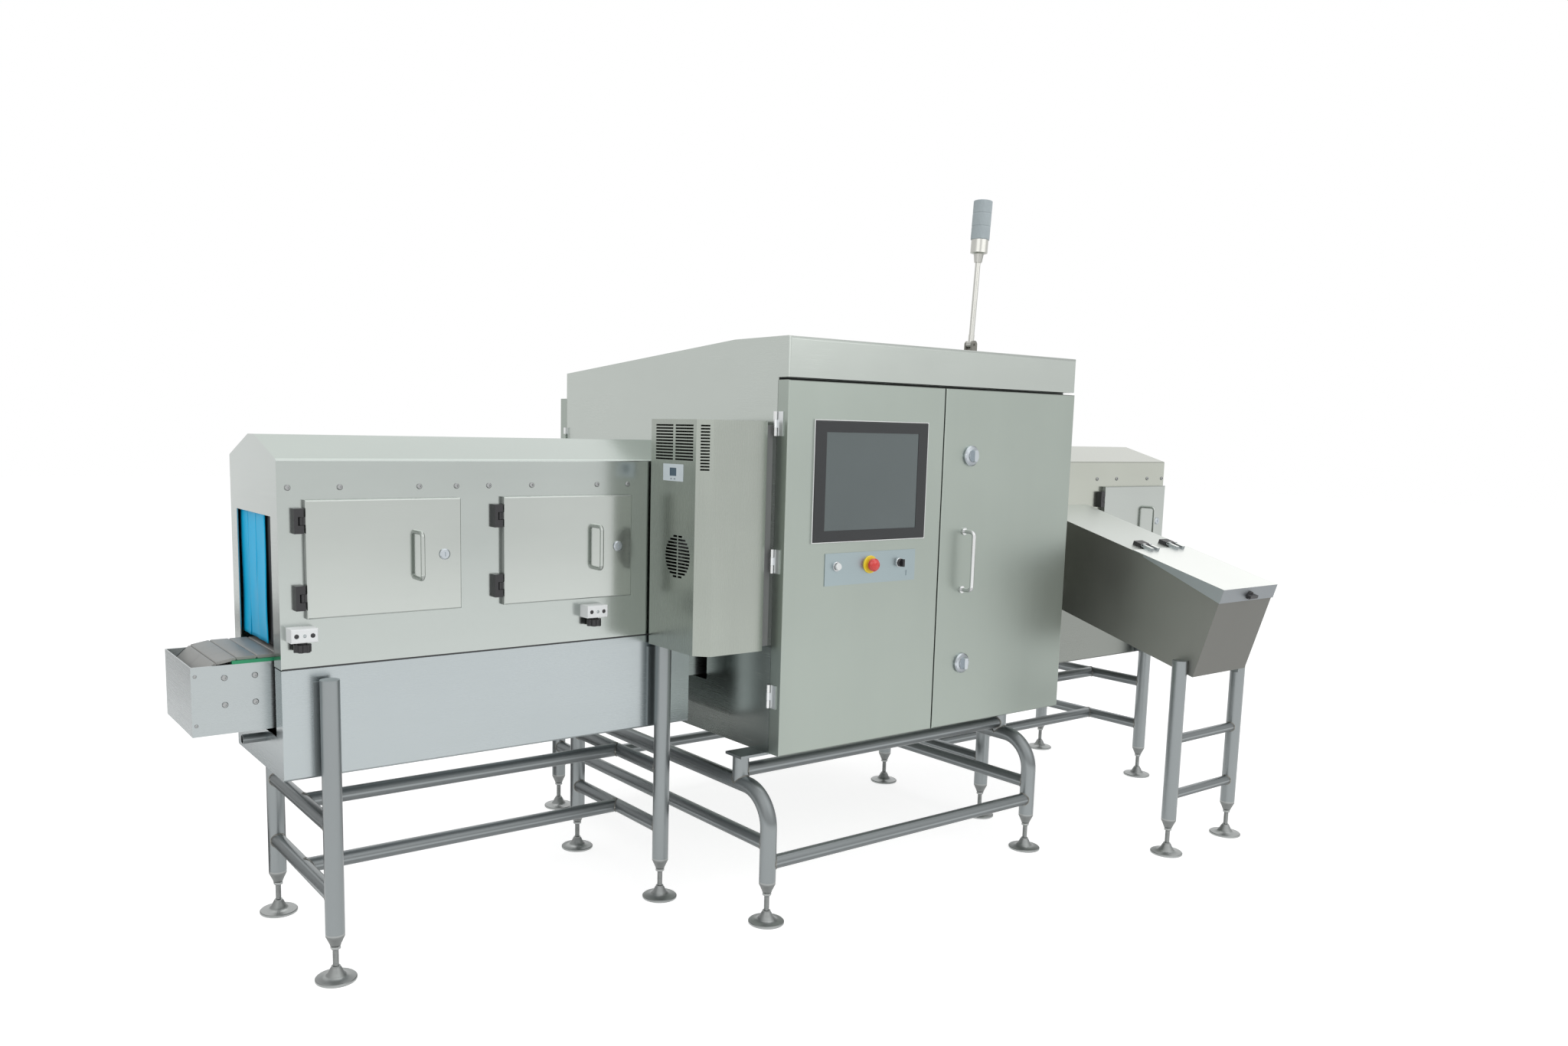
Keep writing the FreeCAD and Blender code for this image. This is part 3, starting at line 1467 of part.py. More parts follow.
def leg_bracket(x, way):
    """Pad on the skirt's side and the web that ties a leg to it."""
    face = tunnel_half_width
    low = skirt_bottom + sheet_bend
    high = tunnel_floor - seam - 35
    pad = sorted((way * face, way * (face + 6)))
    web = sorted((way * (face + 5), way * (leg_half_width - leg_radius + 5)))
    return [block(x - 32, x + 32, pad[0], pad[1], low, high), block(x - 8, x + 8, web[0], web[1], low, high)]


def tunnel_frame(side):
    """Two H-shaped end frames joined by two tubes; legs under the cabinet stay short of its floor."""
    bars = []
    bores = []
    extras = []
    stations = sorted((side * (tunnel_end - leg_inset), inner_leg_x(side)))
    for x in stations:
        sheltered = cabinet_left < x < cabinet_right
        top = cabinet_bottom - 25 if sheltered else leg_top
        for y in (-leg_half_width, leg_half_width):
            add_tube(Vector(x, y, leg_bottom), Vector(x, y, top), leg_radius, -1, 4, bars, bores)
            if not sheltered:
                extras += leg_bracket(x, 1 if y > 0 else -1)
        for z in (upper_rail_height, lower_rail_height):
            start = Vector(x, -leg_half_width, z)
            add_rail(start, Vector(x, leg_half_width, z), rail_radius, leg_radius, bars, bores)
    for z in (upper_rail_height, lower_rail_height):
        add_rail(Vector(stations[0], 0, z), Vector(stations[1], 0, z), rail_radius, rail_radius, bars, bores)
    return joined(bars + extras).cut(bores)


def arch_stations():
    left = cabinet_left - arch_left_overhang
    return [left, left + arch_spacing]


def arch_path(x, low):
    """Corner points of a bent arch, from its front foot to its back foot."""
    return [Vector(x, arch_front, low), Vector(x, arch_front, arch_height),
            Vector(x, arch_back, arch_height), Vector(x, arch_back, low)]


def cabinet_frame():
    """Two bent arches with ties, rails along the line, and posts with plates under the cabinet."""
    bars = []
    bores = []
    extras = []
    left, right = arch_stations()
    plate_bottom = cabinet_bottom - 8
    for x in (left, right):
        bars.append(bent_bar(arch_path(x, leg_bottom), arch_bend, leg_radius))
        bores.append(bent_bar(arch_path(x, leg_bottom - 1), arch_bend, leg_radius - tube_wall))
        tie = Vector(x, arch_front, arch_tie_height)
        add_rail(tie, Vector(x, arch_back, arch_tie_height), rail_radius, leg_radius, bars, bores)
        for y in (post_front, post_back):
            post = Vector(x, y, arch_height)
            add_tube(post, Vector(x, y, plate_bottom), leg_radius, leg_radius + weld_land, 4, bars, bores)
            x_right = x + 110 if x == left else x + 45
            extras.append(block(x - 30, x_right, y - 40, y + 40, plate_bottom, cabinet_bottom))
    for y, z in ((post_front, beam_height), (post_back, beam_height),
                 (arch_front, arch_rail_height), (arch_back, arch_rail_height)):
        add_rail(Vector(left, y, z), Vector(right, y, z), rail_radius, leg_radius, bars, bores)
    return joined(bars + extras).cut(bores)


def chute_legs():
    half = chute_width / 2
    flat = 4.0
    y = chute_leg_y
    return half + leg_radius - flat, y, flat


chute_leg_y = -924.0


def chute_stand():
    """Ladder stand whose legs have flats on top that are welded to the chute's sides."""
    offset, y, flat = chute_legs()
    bars = []
    bores = []
    flats = []
    top = chute_bottom_z(y) + 45
    for way in (-1, 1):
        x = chute_x + way * offset
        solid_top = top - chute_bottom_z(y) + 40
        add_tube(Vector(x, y, leg_bottom), Vector(x, y, top), leg_radius, -1, solid_top, bars, bores)
        face = chute_x + way * chute_width / 2
        xs = sorted((face, face - way * 20))
        flats.append(block(xs[0], xs[1], y - 30, y + 30, chute_bottom_z(y) - 32, top + 1))
    for z in (upper_rail_height, lower_rail_height - 14):
        add_rail(Vector(chute_x - offset, y, z), Vector(chute_x + offset, y, z), rung_radius, leg_radius, bars, bores)
    return joined(bars).cut(bores + flats)


def foot_stations():
    """Floor points of every levelling foot."""
    points = []
    for side in (-1, 1):
        for x in (side * (tunnel_end - leg_inset), inner_leg_x(side)):
            for y in (-leg_half_width, leg_half_width):
                points.append((x, y))
    for x in arch_stations():
        points += [(x, arch_front), (x, arch_back)]
    offset, y, flat = chute_legs()
    points += [(chute_x - offset, y), (chute_x + offset, y)]
    return points


def levelling_feet():
    """Round pad, swivel cone, threaded spindle and tapered end collar under each leg."""
    feet = []
    for x, y in foot_stations():
        profile = [(0, 0), (pad_radius, 0), (pad_radius, 7), (13, 34), (8, 38), (8, 96),
                   (leg_radius, leg_bottom - 2), (leg_radius, leg_bottom), (0, leg_bottom)]
        feet.append(turned(profile, Vector(x, y, 0), Vector(0, 0, 1)))
    return Part.makeCompound(feet)


# Signal tower

def tower_pivot():
    return Vector(tower_x, tower_y, roof_front_height + 36)


def tower_base():
    """Round flange on the roof with two ears and the pivot pin."""
    pivot = tower_pivot()
    z = roof_front_height
    flange = turned([(0, 0), (34, 0), (34, 5), (26, 12), (0, 12)], Vector(tower_x, tower_y, z), Vector(0, 0, 1))
    ears = []
    for way in (-1, 1):
        ys = sorted((tower_y + way * 11, tower_y + way * 18))
        ears.append(block(tower_x - 13, tower_x + 13, ys[0], ys[1], z + 11, pivot.z))
        ears.append(rod(Vector(tower_x, ys[0], pivot.z), Vector(tower_x, ys[1], pivot.z), 13))
    pin = rod(pivot + Vector(0, -22, 0), pivot + Vector(0, 22, 0), 4)
    return joined([flange] + ears + [pin])


def leaned(shape):
    """Lean a piece of the tower to the right about the pivot."""
    shape.rotate(tower_pivot(), Vector(0, 1, 0), tower_lean)
    return shape


def tower_pole():
    """Folding knuckle, pole and the cup that holds the lamp."""
    pivot = tower_pivot()
    z = pivot.z
    knuckle = rod(pivot + Vector(0, -10.5, 0), pivot + Vector(0, 10.5, 0), 13)
    neck = rod(pivot, pivot + Vector(0, 0, 34), 10)
    pole = rod(pivot + Vector(0, 0, 20), pivot + Vector(0, 0, tower_pole_length), tower_pole_radius)
    top = tower_pole_length
    cup_radius = lamp_radius - 3
    profile = [(0, top - 32), (13, top - 32), (17, top - 4), (cup_radius, top), (cup_radius, top + cup_height),
               (0, top + cup_height)]
    cup = turned(profile, pivot, Vector(0, 0, 1))
    hole = rod(pivot + Vector(0, -12, 0), pivot + Vector(0, 12, 0), 4 + pin_play)
    return leaned(joined([knuckle, neck, pole, cup]).cut(hole))


def tower_lamp():
    """Ribbed translucent lamp on the cup."""
    base = tower_pole_length + cup_height
    r = lamp_radius
    profile = [(0, base), (r, base)]
    for band in (1, 2):
        z = base + band * lamp_height / 3
        profile += [(r, z - 1.5), (r - 1.5, z - 1.5), (r - 1.5, z + 1.5), (r, z + 1.5)]
    profile += [(r, base + lamp_height - 5), (r - 5, base + lamp_height), (0, base + lamp_height)]
    return leaned(turned(profile, tower_pivot(), Vector(0, 0, 1)))


def all_nodes():
    """Every node of the machine by name."""
    first_left, second_left = infeed_door_lefts()
    out_left = outfeed_door_left()
    first_clamp, second_clamp = clamp_stations()
    return {
        "infeed_hood": infeed_hood(),
        "infeed_skirt": skirt(-tunnel_end, cabinet_left - skirt_gap),
        "outfeed_hood": outfeed_hood(),
        "outfeed_skirt": skirt(cabinet_right + skirt_gap, tunnel_end),
        "infeed_curtain": curtain(-tunnel_end, 1),
        "outfeed_curtain": curtain(tunnel_end, -1),
        "cabinet_body": cabinet_body(),
        "cabinet_hinges": cabinet_hinges(),
        "left_door": left_door(),
        "right_door": right_door(),
        "rear_door": rear_door(),
        "right_door_handle": right_door_handle(),
        "upper_door_lock": door_lock(upper_lock_height),
        "lower_door_lock": door_lock(lower_lock_height),
        "screen_housing": screen_housing(),
        "screen_glass": screen_glass(),
        "control_plate": control_plate(),
        "button_collars": button_collars(),
        "estop_button": estop_button(),
        "start_button": start_button(),
        "mode_selector": mode_selector(),
        "scan_duct": scan_duct(),
        "xray_generator": xray_generator(),
        "xray_detector": xray_detector(),
        "control_computer": control_computer(),
        "cooler_housing": cooler_housing(),
        "cooler_frame": cooler_frame(),
        "cooler_fan": cooler_fan(),
        "cooler_display": cooler_display(),
        "hinge_blocks": hinge_blocks(),
        "infeed_door_1": tunnel_door(first_left),
        "infeed_door_2": tunnel_door(second_left),
        "outfeed_door": tunnel_door(out_left),
        "infeed_lock_1": cam_lock(first_left),
        "infeed_lock_2": cam_lock(second_left),
        "outfeed_lock": cam_lock(out_left),
        "clamp_blocks": clamp_blocks(),
        "guide_rail": guide_rail(),
        "clamp_knob_1": clamp_knob(first_clamp),
        "clamp_knob_2": clamp_knob(second_clamp),
        "conveyor_frame": conveyor_frame(),
        "conveyor_end_boxes": conveyor_end_boxes(),
        "wear_strips": wear_strips(),
        "conveyor_belt": conveyor_belt(),
        "drive_drum": drive_drum(),
        "idler_roller": idler_roller(),
        "panel_screws": panel_screws(),
        "chute_box": chute_box(),
        "chute_lid": chute_lid(),
        "chute_latch": chute_latch(),
        "pusher_cylinder": pusher_cylinder(),
        "pusher_plate": pusher_plate(),
        "infeed_frame": tunnel_frame(-1),
        "outfeed_frame": tunnel_frame(1),
        "cabinet_frame": cabinet_frame(),
        "chute_stand": chute_stand(),
        "levelling_feet": levelling_feet(),
        "tower_base": tower_base(),
        "tower_pole": tower_pole(),
        "tower_lamp": tower_lamp(),
    }


os.makedirs("parts", exist_ok=True)
nodes = all_nodes()
for name, shape in nodes.items():
    shape.translate(Vector(0, belt_line_y, 0))
    shape.exportStep("parts/" + name + ".step")
    print(name, len(shape.Solids), "solids", round(shape.Volume / 1e6, 3), "litres", shape.isValid())
whole = Part.makeCompound(list(nodes.values())).BoundBox
print("box", [round(v, 1) for v in (whole.XMin, whole.XMax, whole.YMin, whole.YMax, whole.ZMin, whole.ZMax)])
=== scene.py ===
import math

import bmesh
import bpy
import numpy as np
from mathutils import Matrix, Vector


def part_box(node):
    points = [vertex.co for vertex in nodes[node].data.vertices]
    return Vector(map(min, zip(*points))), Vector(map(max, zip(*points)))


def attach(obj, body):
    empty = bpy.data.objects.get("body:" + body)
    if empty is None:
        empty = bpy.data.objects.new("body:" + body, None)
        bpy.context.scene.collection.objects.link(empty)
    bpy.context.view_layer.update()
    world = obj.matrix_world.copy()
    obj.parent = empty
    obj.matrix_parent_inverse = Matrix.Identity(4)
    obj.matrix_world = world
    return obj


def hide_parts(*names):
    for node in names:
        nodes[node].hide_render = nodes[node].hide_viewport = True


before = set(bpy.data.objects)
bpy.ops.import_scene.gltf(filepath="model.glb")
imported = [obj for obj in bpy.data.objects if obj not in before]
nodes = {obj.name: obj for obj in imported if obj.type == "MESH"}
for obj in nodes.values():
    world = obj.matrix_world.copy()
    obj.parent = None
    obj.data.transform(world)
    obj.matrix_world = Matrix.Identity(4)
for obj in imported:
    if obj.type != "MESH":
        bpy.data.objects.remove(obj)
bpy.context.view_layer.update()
belt_line = (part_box("infeed_hood")[0].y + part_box("infeed_hood")[1].y) / 2


# Levelling feet. Fourteen cast stainless feet: a flat flange with a bell over it, a threaded spindle
# that turns in the bell, a lock nut, and a tapered collar that closes the leg's tube.
class Wire:
    """A number or colour in a finish. a + b and the like add the node that works the sum out."""

    def __init__(self, look, socket):
        self.look, self.socket = look, socket

    def _sum(self, operation, *values):
        return self.look.add("ShaderNodeMath", {"operation": operation}, *values)

    def __add__(self, other):
        return self._sum("ADD", self, other)

    def __sub__(self, other):
        return self._sum("SUBTRACT", self, other)

    def __rsub__(self, other):
        return self._sum("SUBTRACT", other, self)

    def __mul__(self, other):
        return self._sum("MULTIPLY", self, other)

    def size(self):
        return self._sum("ABSOLUTE", self)

    def kept(self):
        """The number held between 0 and 1."""
        return self._sum("MINIMUM", self._sum("MAXIMUM", self, 0.0), 1.0)

    def between(self, low, high):
        """0 below low, 1 above high, and a smooth rise in between."""
        settings = {"interpolation_type": "SMOOTHSTEP"}
        return self.look.add("ShaderNodeMapRange", settings, self, low, high, 0.0, 1.0)


class Look:
    """A finish in the making: a tree of nodes, and the shader that the tree ends in."""

    def __init__(self, name, owner=None):
        self.material = owner or bpy.data.materials.new(name)
        self.material.use_nodes = True
        self.tree = self.material.node_tree
        self.shader = self.node_of("BACKGROUND" if owner else "BSDF_PRINCIPLED")

    def node_of(self, kind):
        return next(n for n in self.tree.nodes if n.type == kind)

    def add(self, kind, settings, *values, out=0, **named):
        """One node of a kind: its settings first, then the values or links of its sockets."""
        node = self.tree.nodes.new(kind)
        for key, value in settings.items():
            setattr(node, key, value)
        for key, value in list(enumerate(values)) + list(named.items()):
            self.link(node.inputs[key], value)
        return Wire(self, node.outputs[out])

    def link(self, socket, value):
        if isinstance(value, Wire):
            self.tree.links.new(value.socket, socket)
        elif isinstance(value, (tuple, list)) and socket.type == "RGBA":
            socket.default_value = (*value[:3], 1.0)
        elif value is not None:
            socket.default_value = value

    def spot(self, scale=(1, 1, 1), shift=(0, 0, 0)):
        """Place on the piece in metres, times scale."""
        place = self.add("ShaderNodeTexCoord", {}, out="Object")
        return self.add("ShaderNodeMapping", {}, place, Location=shift, Scale=scale)

    def axes(self, wire):
        """The three numbers of a place or a direction."""
        return [self.add("ShaderNodeSeparateXYZ", {}, wire, out=n) for n in range(3)]

    def noise(self, scale, detail=2.0, rough=0.5, shift=(0, 0, 0)):
        """Soft noise from 0 to 1 with scale waves a metre along each axis."""
        place = self.spot(scale, shift)
        return self.add("ShaderNodeTexNoise", {}, place, Scale=1.0, Detail=detail, Roughness=rough)

    def tint(self, factor, first, second):
        """Colour that goes from first to second as factor goes from 0 to 1."""
        return self.add("ShaderNodeMix", {"data_type": "RGBA"}, factor, *[None] * 5, first, second, out=2)

    def bumps(self, height, strength, distance):
        """Normal bent by a height."""
        return self.add("ShaderNodeBump", {}, strength, distance, Height=height)

    def finish(self, **sockets):
        """Sets the shader's sockets by name and returns the material."""
        for key, value in sockets.items():
            self.link(self.shader.inputs[key.replace("_", " ")], value)
        return self.material


ACROSS, ALONG = 900, 4
DARK_SHARE, LIGHT_SHARE, PAINTED_TOP_SHARE = 0.84, 1.14, 0.9
FOLD_PAINTED_SHADE, FOLD_SHADE_SHARE, FOLD_ROUGH = 0.55, 0.4, 0.15
LINE_CONTRAST, LINE_BUMP, LINE_DEPTH = 0.10, 0.05, 0.0004
ROUGH_CHANGE, LUG_BLUR = 0.12, 0.0004


def brushed(name, colour, rough=0.34, grain="level", cloud=0.05, streak=0.05, painted_top_light=None, lug=None):
    """Brushed stainless: fine lines, level or upright on the sides and along X on top, under soft
    clouds and faint wiping streaks, and duller and rougher where a fold broke the grain. On the folds
    the colour is also darkened: painted shade that damps the lamp's highlight. The lines have ACROSS
    waves a metre one way and ALONG the other. The top colour is a lighter colour painted on what
    faces up: painted light from above. lug is an X, a colour and a metallic share for the hinge part
    at lower X."""
    look = Look(name)
    rise = look.axes(look.add("ShaderNodeTexCoord", {}, out="Normal"))[2].size()
    flat = rise.between(0.6, 0.8)
    bend = rise.between(0.06, 0.2) * (1 - rise.between(0.75, 0.9))
    side = look.noise((ALONG, ALONG, ACROSS) if grain == "level" else (ACROSS, ACROSS, ALONG), 4.0, 0.75)
    top = look.noise((ALONG, ACROSS, ALONG), 4.0, 0.75)
    lines = side * (1 - flat) + top * flat
    soft = look.noise((1.9, 1.9, 2.4), 3.0, 0.55)
    wipe = look.noise((7, 7, 0.9) if grain == "upright" else (1.1, 1.1, 8), 4.0, 0.6, (3.1, 0, 0))
    shade = (lines - 0.5) * LINE_CONTRAST + (soft - 0.5) * cloud * 8 + (wipe - 0.5) * streak * 4 + 0.5
    light = tuple(min(1.0, c * LIGHT_SHARE) for c in colour)
    base = look.tint(shade.kept(), tuple(c * DARK_SHARE for c in colour), light)
    metallic = 1.0
    # Faces that point up take the lighter top colour: painted light from above.
    if painted_top_light:
        base = look.tint(flat, base, look.tint(shade.kept(), tuple(c * PAINTED_TOP_SHARE for c in painted_top_light), painted_top_light))
    # Folds take a darker colour: painted shade that damps the lamp's highlight on the bends.
    base = look.tint(bend * FOLD_PAINTED_SHADE, base, tuple(c * FOLD_SHADE_SHARE for c in colour))
    if lug:
        edge, lug_colour, lug_metallic = lug
        beyond = 1 - look.axes(look.spot())[0].between(edge - LUG_BLUR, edge + LUG_BLUR)
        base = look.tint(beyond, base, lug_colour)
        metallic = 1 - beyond * (1 - lug_metallic)
    roughness = (lines - 0.5) * ROUGH_CHANGE + (soft - 0.5) * ROUGH_CHANGE + bend * FOLD_ROUGH + rough
    normal = look.bumps(lines, LINE_BUMP, LINE_DEPTH)
    return look.finish(Base_Color=base, Metallic=metallic, Roughness=roughness, Normal=normal)


def wear(obj, material):
    """Gives a piece one finish."""
    obj.data.materials.clear()
    obj.data.materials.append(material)
    return obj


def surfaces(name, grids, material, body, loop=(False, True), soft=40):
    """One mesh of many surfaces: grids holds, for each copy, rows of points; loop says whether the
    rows close on each other and whether each row closes on itself. Points that meet are merged,
    faces point outwards, and edges sharper than soft degrees stay crisp."""
    grids = np.asarray(grids, float)
    copies, rows, columns, _ = grids.shape
    i = np.arange(rows if loop[0] else rows - 1)[:, None]
    j = np.arange(columns if loop[1] else columns - 1)
    across = ((i + 1) % rows) * columns
    beside = (j + 1) % columns
    faces = [i * columns + j, i * columns + beside, across + beside, across + j]
    faces = np.stack(faces, -1).reshape(-1, 4)
    faces = (faces[None] + np.arange(copies)[:, None, None] * rows * columns).reshape(-1, 4)
    mesh = bpy.data.meshes.new(name)
    mesh.from_pydata(grids.reshape(-1, 3), [], faces)
    work = bmesh.new()
    work.from_mesh(mesh)
    bmesh.ops.remove_doubles(work, verts=work.verts, dist=2e-6)
    bmesh.ops.dissolve_degenerate(work, edges=work.edges, dist=1e-7)
    bmesh.ops.recalc_face_normals(work, faces=work.faces)
    work.to_mesh(mesh)
    work.free()
    mesh.polygons.foreach_set("use_smooth", np.ones(len(mesh.polygons), bool))
    mesh.set_sharp_from_angle(angle=math.radians(soft))
    obj = bpy.data.objects.new(name, mesh)
    bpy.context.scene.collection.objects.link(obj)
    wear(obj, material)
    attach(obj, body)
    return obj


def points_of(node):
    """All corners of a CAD node, in metres."""
    mesh = nodes[node].data
    corners = np.zeros(len(mesh.vertices) * 3, np.float32)
    mesh.vertices.foreach_get("co", corners)
    return corners.reshape(-1, 3).astype(float)


def clumps(node, reach, axes=(0, 1, 2)):
    """Lowest and highest corner of each separate piece of a CAD node: points nearer than reach to
    one another along the given axes belong to one piece."""
    left = points_of(node)
    found = []
    while len(left):
        near = np.linalg.norm(left[:, axes] - left[0, axes], axis=1) < reach
        found.append((left[near].min(0), left[near].max(0)))
        left = left[~near]
    return found


def turned(profile, columns, base, axis=(0, 0, 1), swell=None):
    """Profile rows of (radius, height), turned round an axis through each base point. A point is
    base + radius cos(angle) side + radius sin(angle) other + height axis. swell adds to the radius
    by angle and height."""
    profile = np.asarray(profile, float)
    angle = np.linspace(0, 2 * np.pi, columns, endpoint=False)
    radius = np.repeat(profile[:, :1], columns, 1)
    height = np.repeat(profile[:, 1:], columns, 1)
    if swell is not None:
        radius = radius + swell(angle[None], height) * (radius > 0)
    axis = np.asarray(axis, float)
    side = np.cross(axis, (0, 1, 0) if abs(axis[1]) < 0.9 else (1, 0, 0))
    side /= np.linalg.norm(side)
    other = np.cross(axis, side)
    shape = (radius * np.cos(angle))[..., None] * side + (radius * np.sin(angle))[..., None] * other
    shape = shape + height[..., None] * axis
    return np.asarray(base, float).reshape(-1, 1, 1, 3) + shape


FOOT_SPREAD = 0.12
NUT_FLAT, THREAD_PITCH, THREAD_DEPTH = 0.0118, 0.003, 0.0011
SPINDLE, SPINDLE_FOOT, SPINDLE_TOP = 0.0076, 0.039, 0.0945
feet_at = [(low + high) / 2 * (1, 1, 0) for low, high in clumps("levelling_feet", FOOT_SPREAD, (0, 1))]
foot_flange = [(0, 0), (0.0535, 0), (0.0545, 0.001), (0.0545, 0.0055), (0.0525, 0.0075), (0.040, 0.0085),
               (0.0285, 0.0115), (0.0215, 0.0185), (0.0175, 0.027), (0.0145, 0.033), (0.0118, 0.0365),
               (0.0118, 0.0385), (0.0072, 0.0395), (0.0, 0.0395)]
foot_collar = [(0, 0.094), (0.0112, 0.094), (0.0142, 0.0965), (0.0150, 0.100), (0.0243, 0.120),
               (0.0253, 0.122), (0.0253, 0.1298), (0, 0.1298)]
nut = [(0, 0.086), (0.0112, 0.086), (NUT_FLAT, 0.0868), (NUT_FLAT, 0.0930), (0.0112, 0.0938), (0, 0.0938)]
spindle = [(SPINDLE, height) for height in np.linspace(SPINDLE_FOOT, SPINDLE_TOP, 93)]
spindle = [(0, SPINDLE_FOOT)] + spindle + [(0, SPINDLE_TOP)]


def thread(angle, height):
    """Ridge that climbs one pitch a turn: the height less the angle's share of the pitch, folded."""
    place = (height / THREAD_PITCH - angle / (2 * np.pi)) % 1.0
    return THREAD_DEPTH * (0.5 - np.abs(place - 0.5) * 2)


def hexagon(angle, height):
    """Extra radius from the flat of a nut out to its corners."""
    third = np.pi / 3
    return NUT_FLAT * (1 / np.cos((angle + third / 2) % third - third / 2) - 1)


foot_look = brushed("foot_steel", (0.36, 0.375, 0.37), 0.36, "level", 0.08)
feet = surfaces("feet_flanges", turned(foot_flange, 40, feet_at), foot_look, "machine")
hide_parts("levelling_feet")
surfaces("feet_collars", turned(foot_collar, 32, feet_at), foot_look, "machine")
surfaces("feet_spindles", turned(spindle, 20, feet_at, swell=thread), foot_look, "machine", soft=60)
surfaces("feet_nuts", turned(nut, 24, feet_at, swell=hexagon), foot_look, "machine", soft=25)

# Tubular stands. Satin stainless tube, 51 mm legs with 42 mm rails and 34 mm rungs under the chute,
# mitred and welded; the arches under the cabinet are bent from one length. Every joint carries a
# ground but visible weld bead.
tube_look = brushed("satin_tube", (0.276, 0.298, 0.303), 0.33, "upright", 0.07, 0.06)
for name in ("infeed_frame", "outfeed_frame", "cabinet_frame", "chute_stand"):
    wear(nodes[name], tube_look)
LEG, RAIL, RUNG = 0.0254, 0.0212, 0.0169
BEAD, RIPPLE, RIPPLES = 0.0026, 0.14, 28
TUNNEL_RAILS = (0.418, 0.228)
CHUTE_RUNGS = (0.418, 0.214)
ARCH_TIE, ARCH_RAIL, ARCH_TOP, BEAM = 0.243, 0.185, 0.400, 0.437
POSTS = (belt_line - 0.463, belt_line + 0.560)
RING_RISE = 0.001


def legs_of(node):
    """X and Y of each leg of a stand, from the rings at its lowest points."""
    points = points_of(node)
    ring = points[points[:, 2] < points[:, 2].min() + RING_RISE]
    low, high = ring.min(0) + LEG, ring.max(0) - LEG
    return [(x, y) for x in (low[0], high[0]) for y in sorted({round(low[1], 5), round(high[1], 5)})]


def beads(joints):
    """Weld beads. A joint is its centre, the main tube's axis and radius and the branch's way and
    radius. At an angle t the bead's middle lies r cos t along the main axis, r sin t across it, and
    sqrt(R squared - (r sin t) squared) out along the branch; a small rippled circle rides on it."""
    turn = np.linspace(0, 2 * np.pi, 56, endpoint=False)[:, None]
    round_it = np.linspace(0, 2 * np.pi, 7, endpoint=False)[None]
    grids = []
    for centre, axis, main, way, branch in joints:
        centre, axis, way = (np.asarray(v, float) for v in (centre, axis, way))
        out = np.sqrt(np.maximum(main ** 2 - (branch * np.sin(turn)) ** 2, 0.0))
        radial = np.cos(turn)[..., None] * axis + np.sin(turn)[..., None] * np.cross(axis, way)
        middle = centre + radial * branch + out[..., None] * way
        thick = BEAD * (1 + RIPPLE * np.sin(turn * RIPPLES))
        ring = (thick * np.cos(round_it))[..., None] * radial + (thick * np.sin(round_it))[..., None] * way
        grids.append(middle + ring)
    return np.array(grids)


joints = []
up = (0, 0, 1)
for node in ("infeed_frame", "outfeed_frame"):
    legs = legs_of(node)
    xs = sorted({x for x, y in legs})
    for z in TUNNEL_RAILS:
        joints += [((x, y, z), up, LEG, (0, -1 if y > belt_line else 1, 0), RAIL) for x, y in legs]
        joints += [((x, belt_line, z), (0, 1, 0), RAIL, (way, 0, 0), RAIL) for x, way in zip(xs, (1, -1))]
arches = legs_of("cabinet_frame")
for x, y in arches:
    inward = 1 if x == min(arches)[0] else -1
    joints.append(((x, y, ARCH_TIE), up, LEG, (0, -1 if y > belt_line else 1, 0), RAIL))
    joints.append(((x, y, ARCH_RAIL), up, LEG, (inward, 0, 0), RAIL))
    for post in POSTS if y < belt_line else ():
        joints.append(((x, post, ARCH_TOP), (0, 1, 0), LEG, up, LEG))
        joints.append(((x, post, BEAM), up, LEG, (inward, 0, 0), RAIL))
stand = legs_of("chute_stand")
for x, y in stand:
    joints += [((x, y, z), up, LEG, (1 if x == min(stand)[0] else -1, 0, 0), RUNG) for z in CHUTE_RUNGS]
weld_look = brushed("weld_bead", (0.29, 0.285, 0.262), 0.42, "level", 0.12)
surfaces("weld_beads", beads(joints), weld_look, "machine", (True, True))

# Tunnel sheets. Folded 3 mm stainless with a level brushed grain: the open trough under each tunnel
# and the gabled hood that stands in it, welded at the corners and dressed.
STEEL = (0.46, 0.495, 0.475)
# Faces of this sheet that point up, such as the hood's roof, take a lighter colour: painted light from above.
panel = brushed("brushed_sheet", STEEL, 0.19, painted_top_light=(0.50, 0.56, 0.52))
trough_look = brushed("trough_sheet", (0.43, 0.47, 0.48), 0.26)
wear(nodes["infeed_skirt"], trough_look)
# The outfeed trough's darker colour is painted shade for the chute's shadow over it; it is the same steel as
# the infeed trough.
wear(nodes["outfeed_skirt"], brushed("outfeed_trough_painted_shade", (0.26, 0.275, 0.255), 0.3))
wear(nodes["infeed_hood"], panel)
wear(nodes["outfeed_hood"], brushed("outfeed_sheet", (0.50, 0.52, 0.465), 0.22))

# Hood joints. A black strip, 4 mm high, runs along both sides where each hood stands on its
# trough: painted shade for the shadow in the joint.
def plastic(name, colour, rough, grain=2200, depth=0.05, vary=0.1, **more):
    """Moulded plastic or rubber: slight mottling under a fine spark-eroded grain."""
    look = Look(name)
    soft = look.noise((14, 14, 14), 3.0)
    fine = look.noise((grain, grain, grain), 2.0)
    light = tuple(min(1.0, c * (1 + vary)) for c in colour)
    base = look.tint(soft, tuple(c * (1 - vary) for c in colour), light)
    normal = look.bumps(fine, depth, 0.0003)
    return look.finish(Base_Color=base, Roughness=(soft - 0.5) * 0.14 + rough, Normal=normal, **more)


def bar_grid(start, end, section, across, out):
    """Straight bar, closed at both ends. A point of its section (a, b) lies at a across + b out from
    the line between start and end."""
    start, end, section, across, out = (np.asarray(v, float) for v in (start, end, section, across, out))
    ring = section[:, :1] * across + section[:, 1:] * out
    return np.array([start + ring * 0, start + ring, end + ring, end + ring * 0])


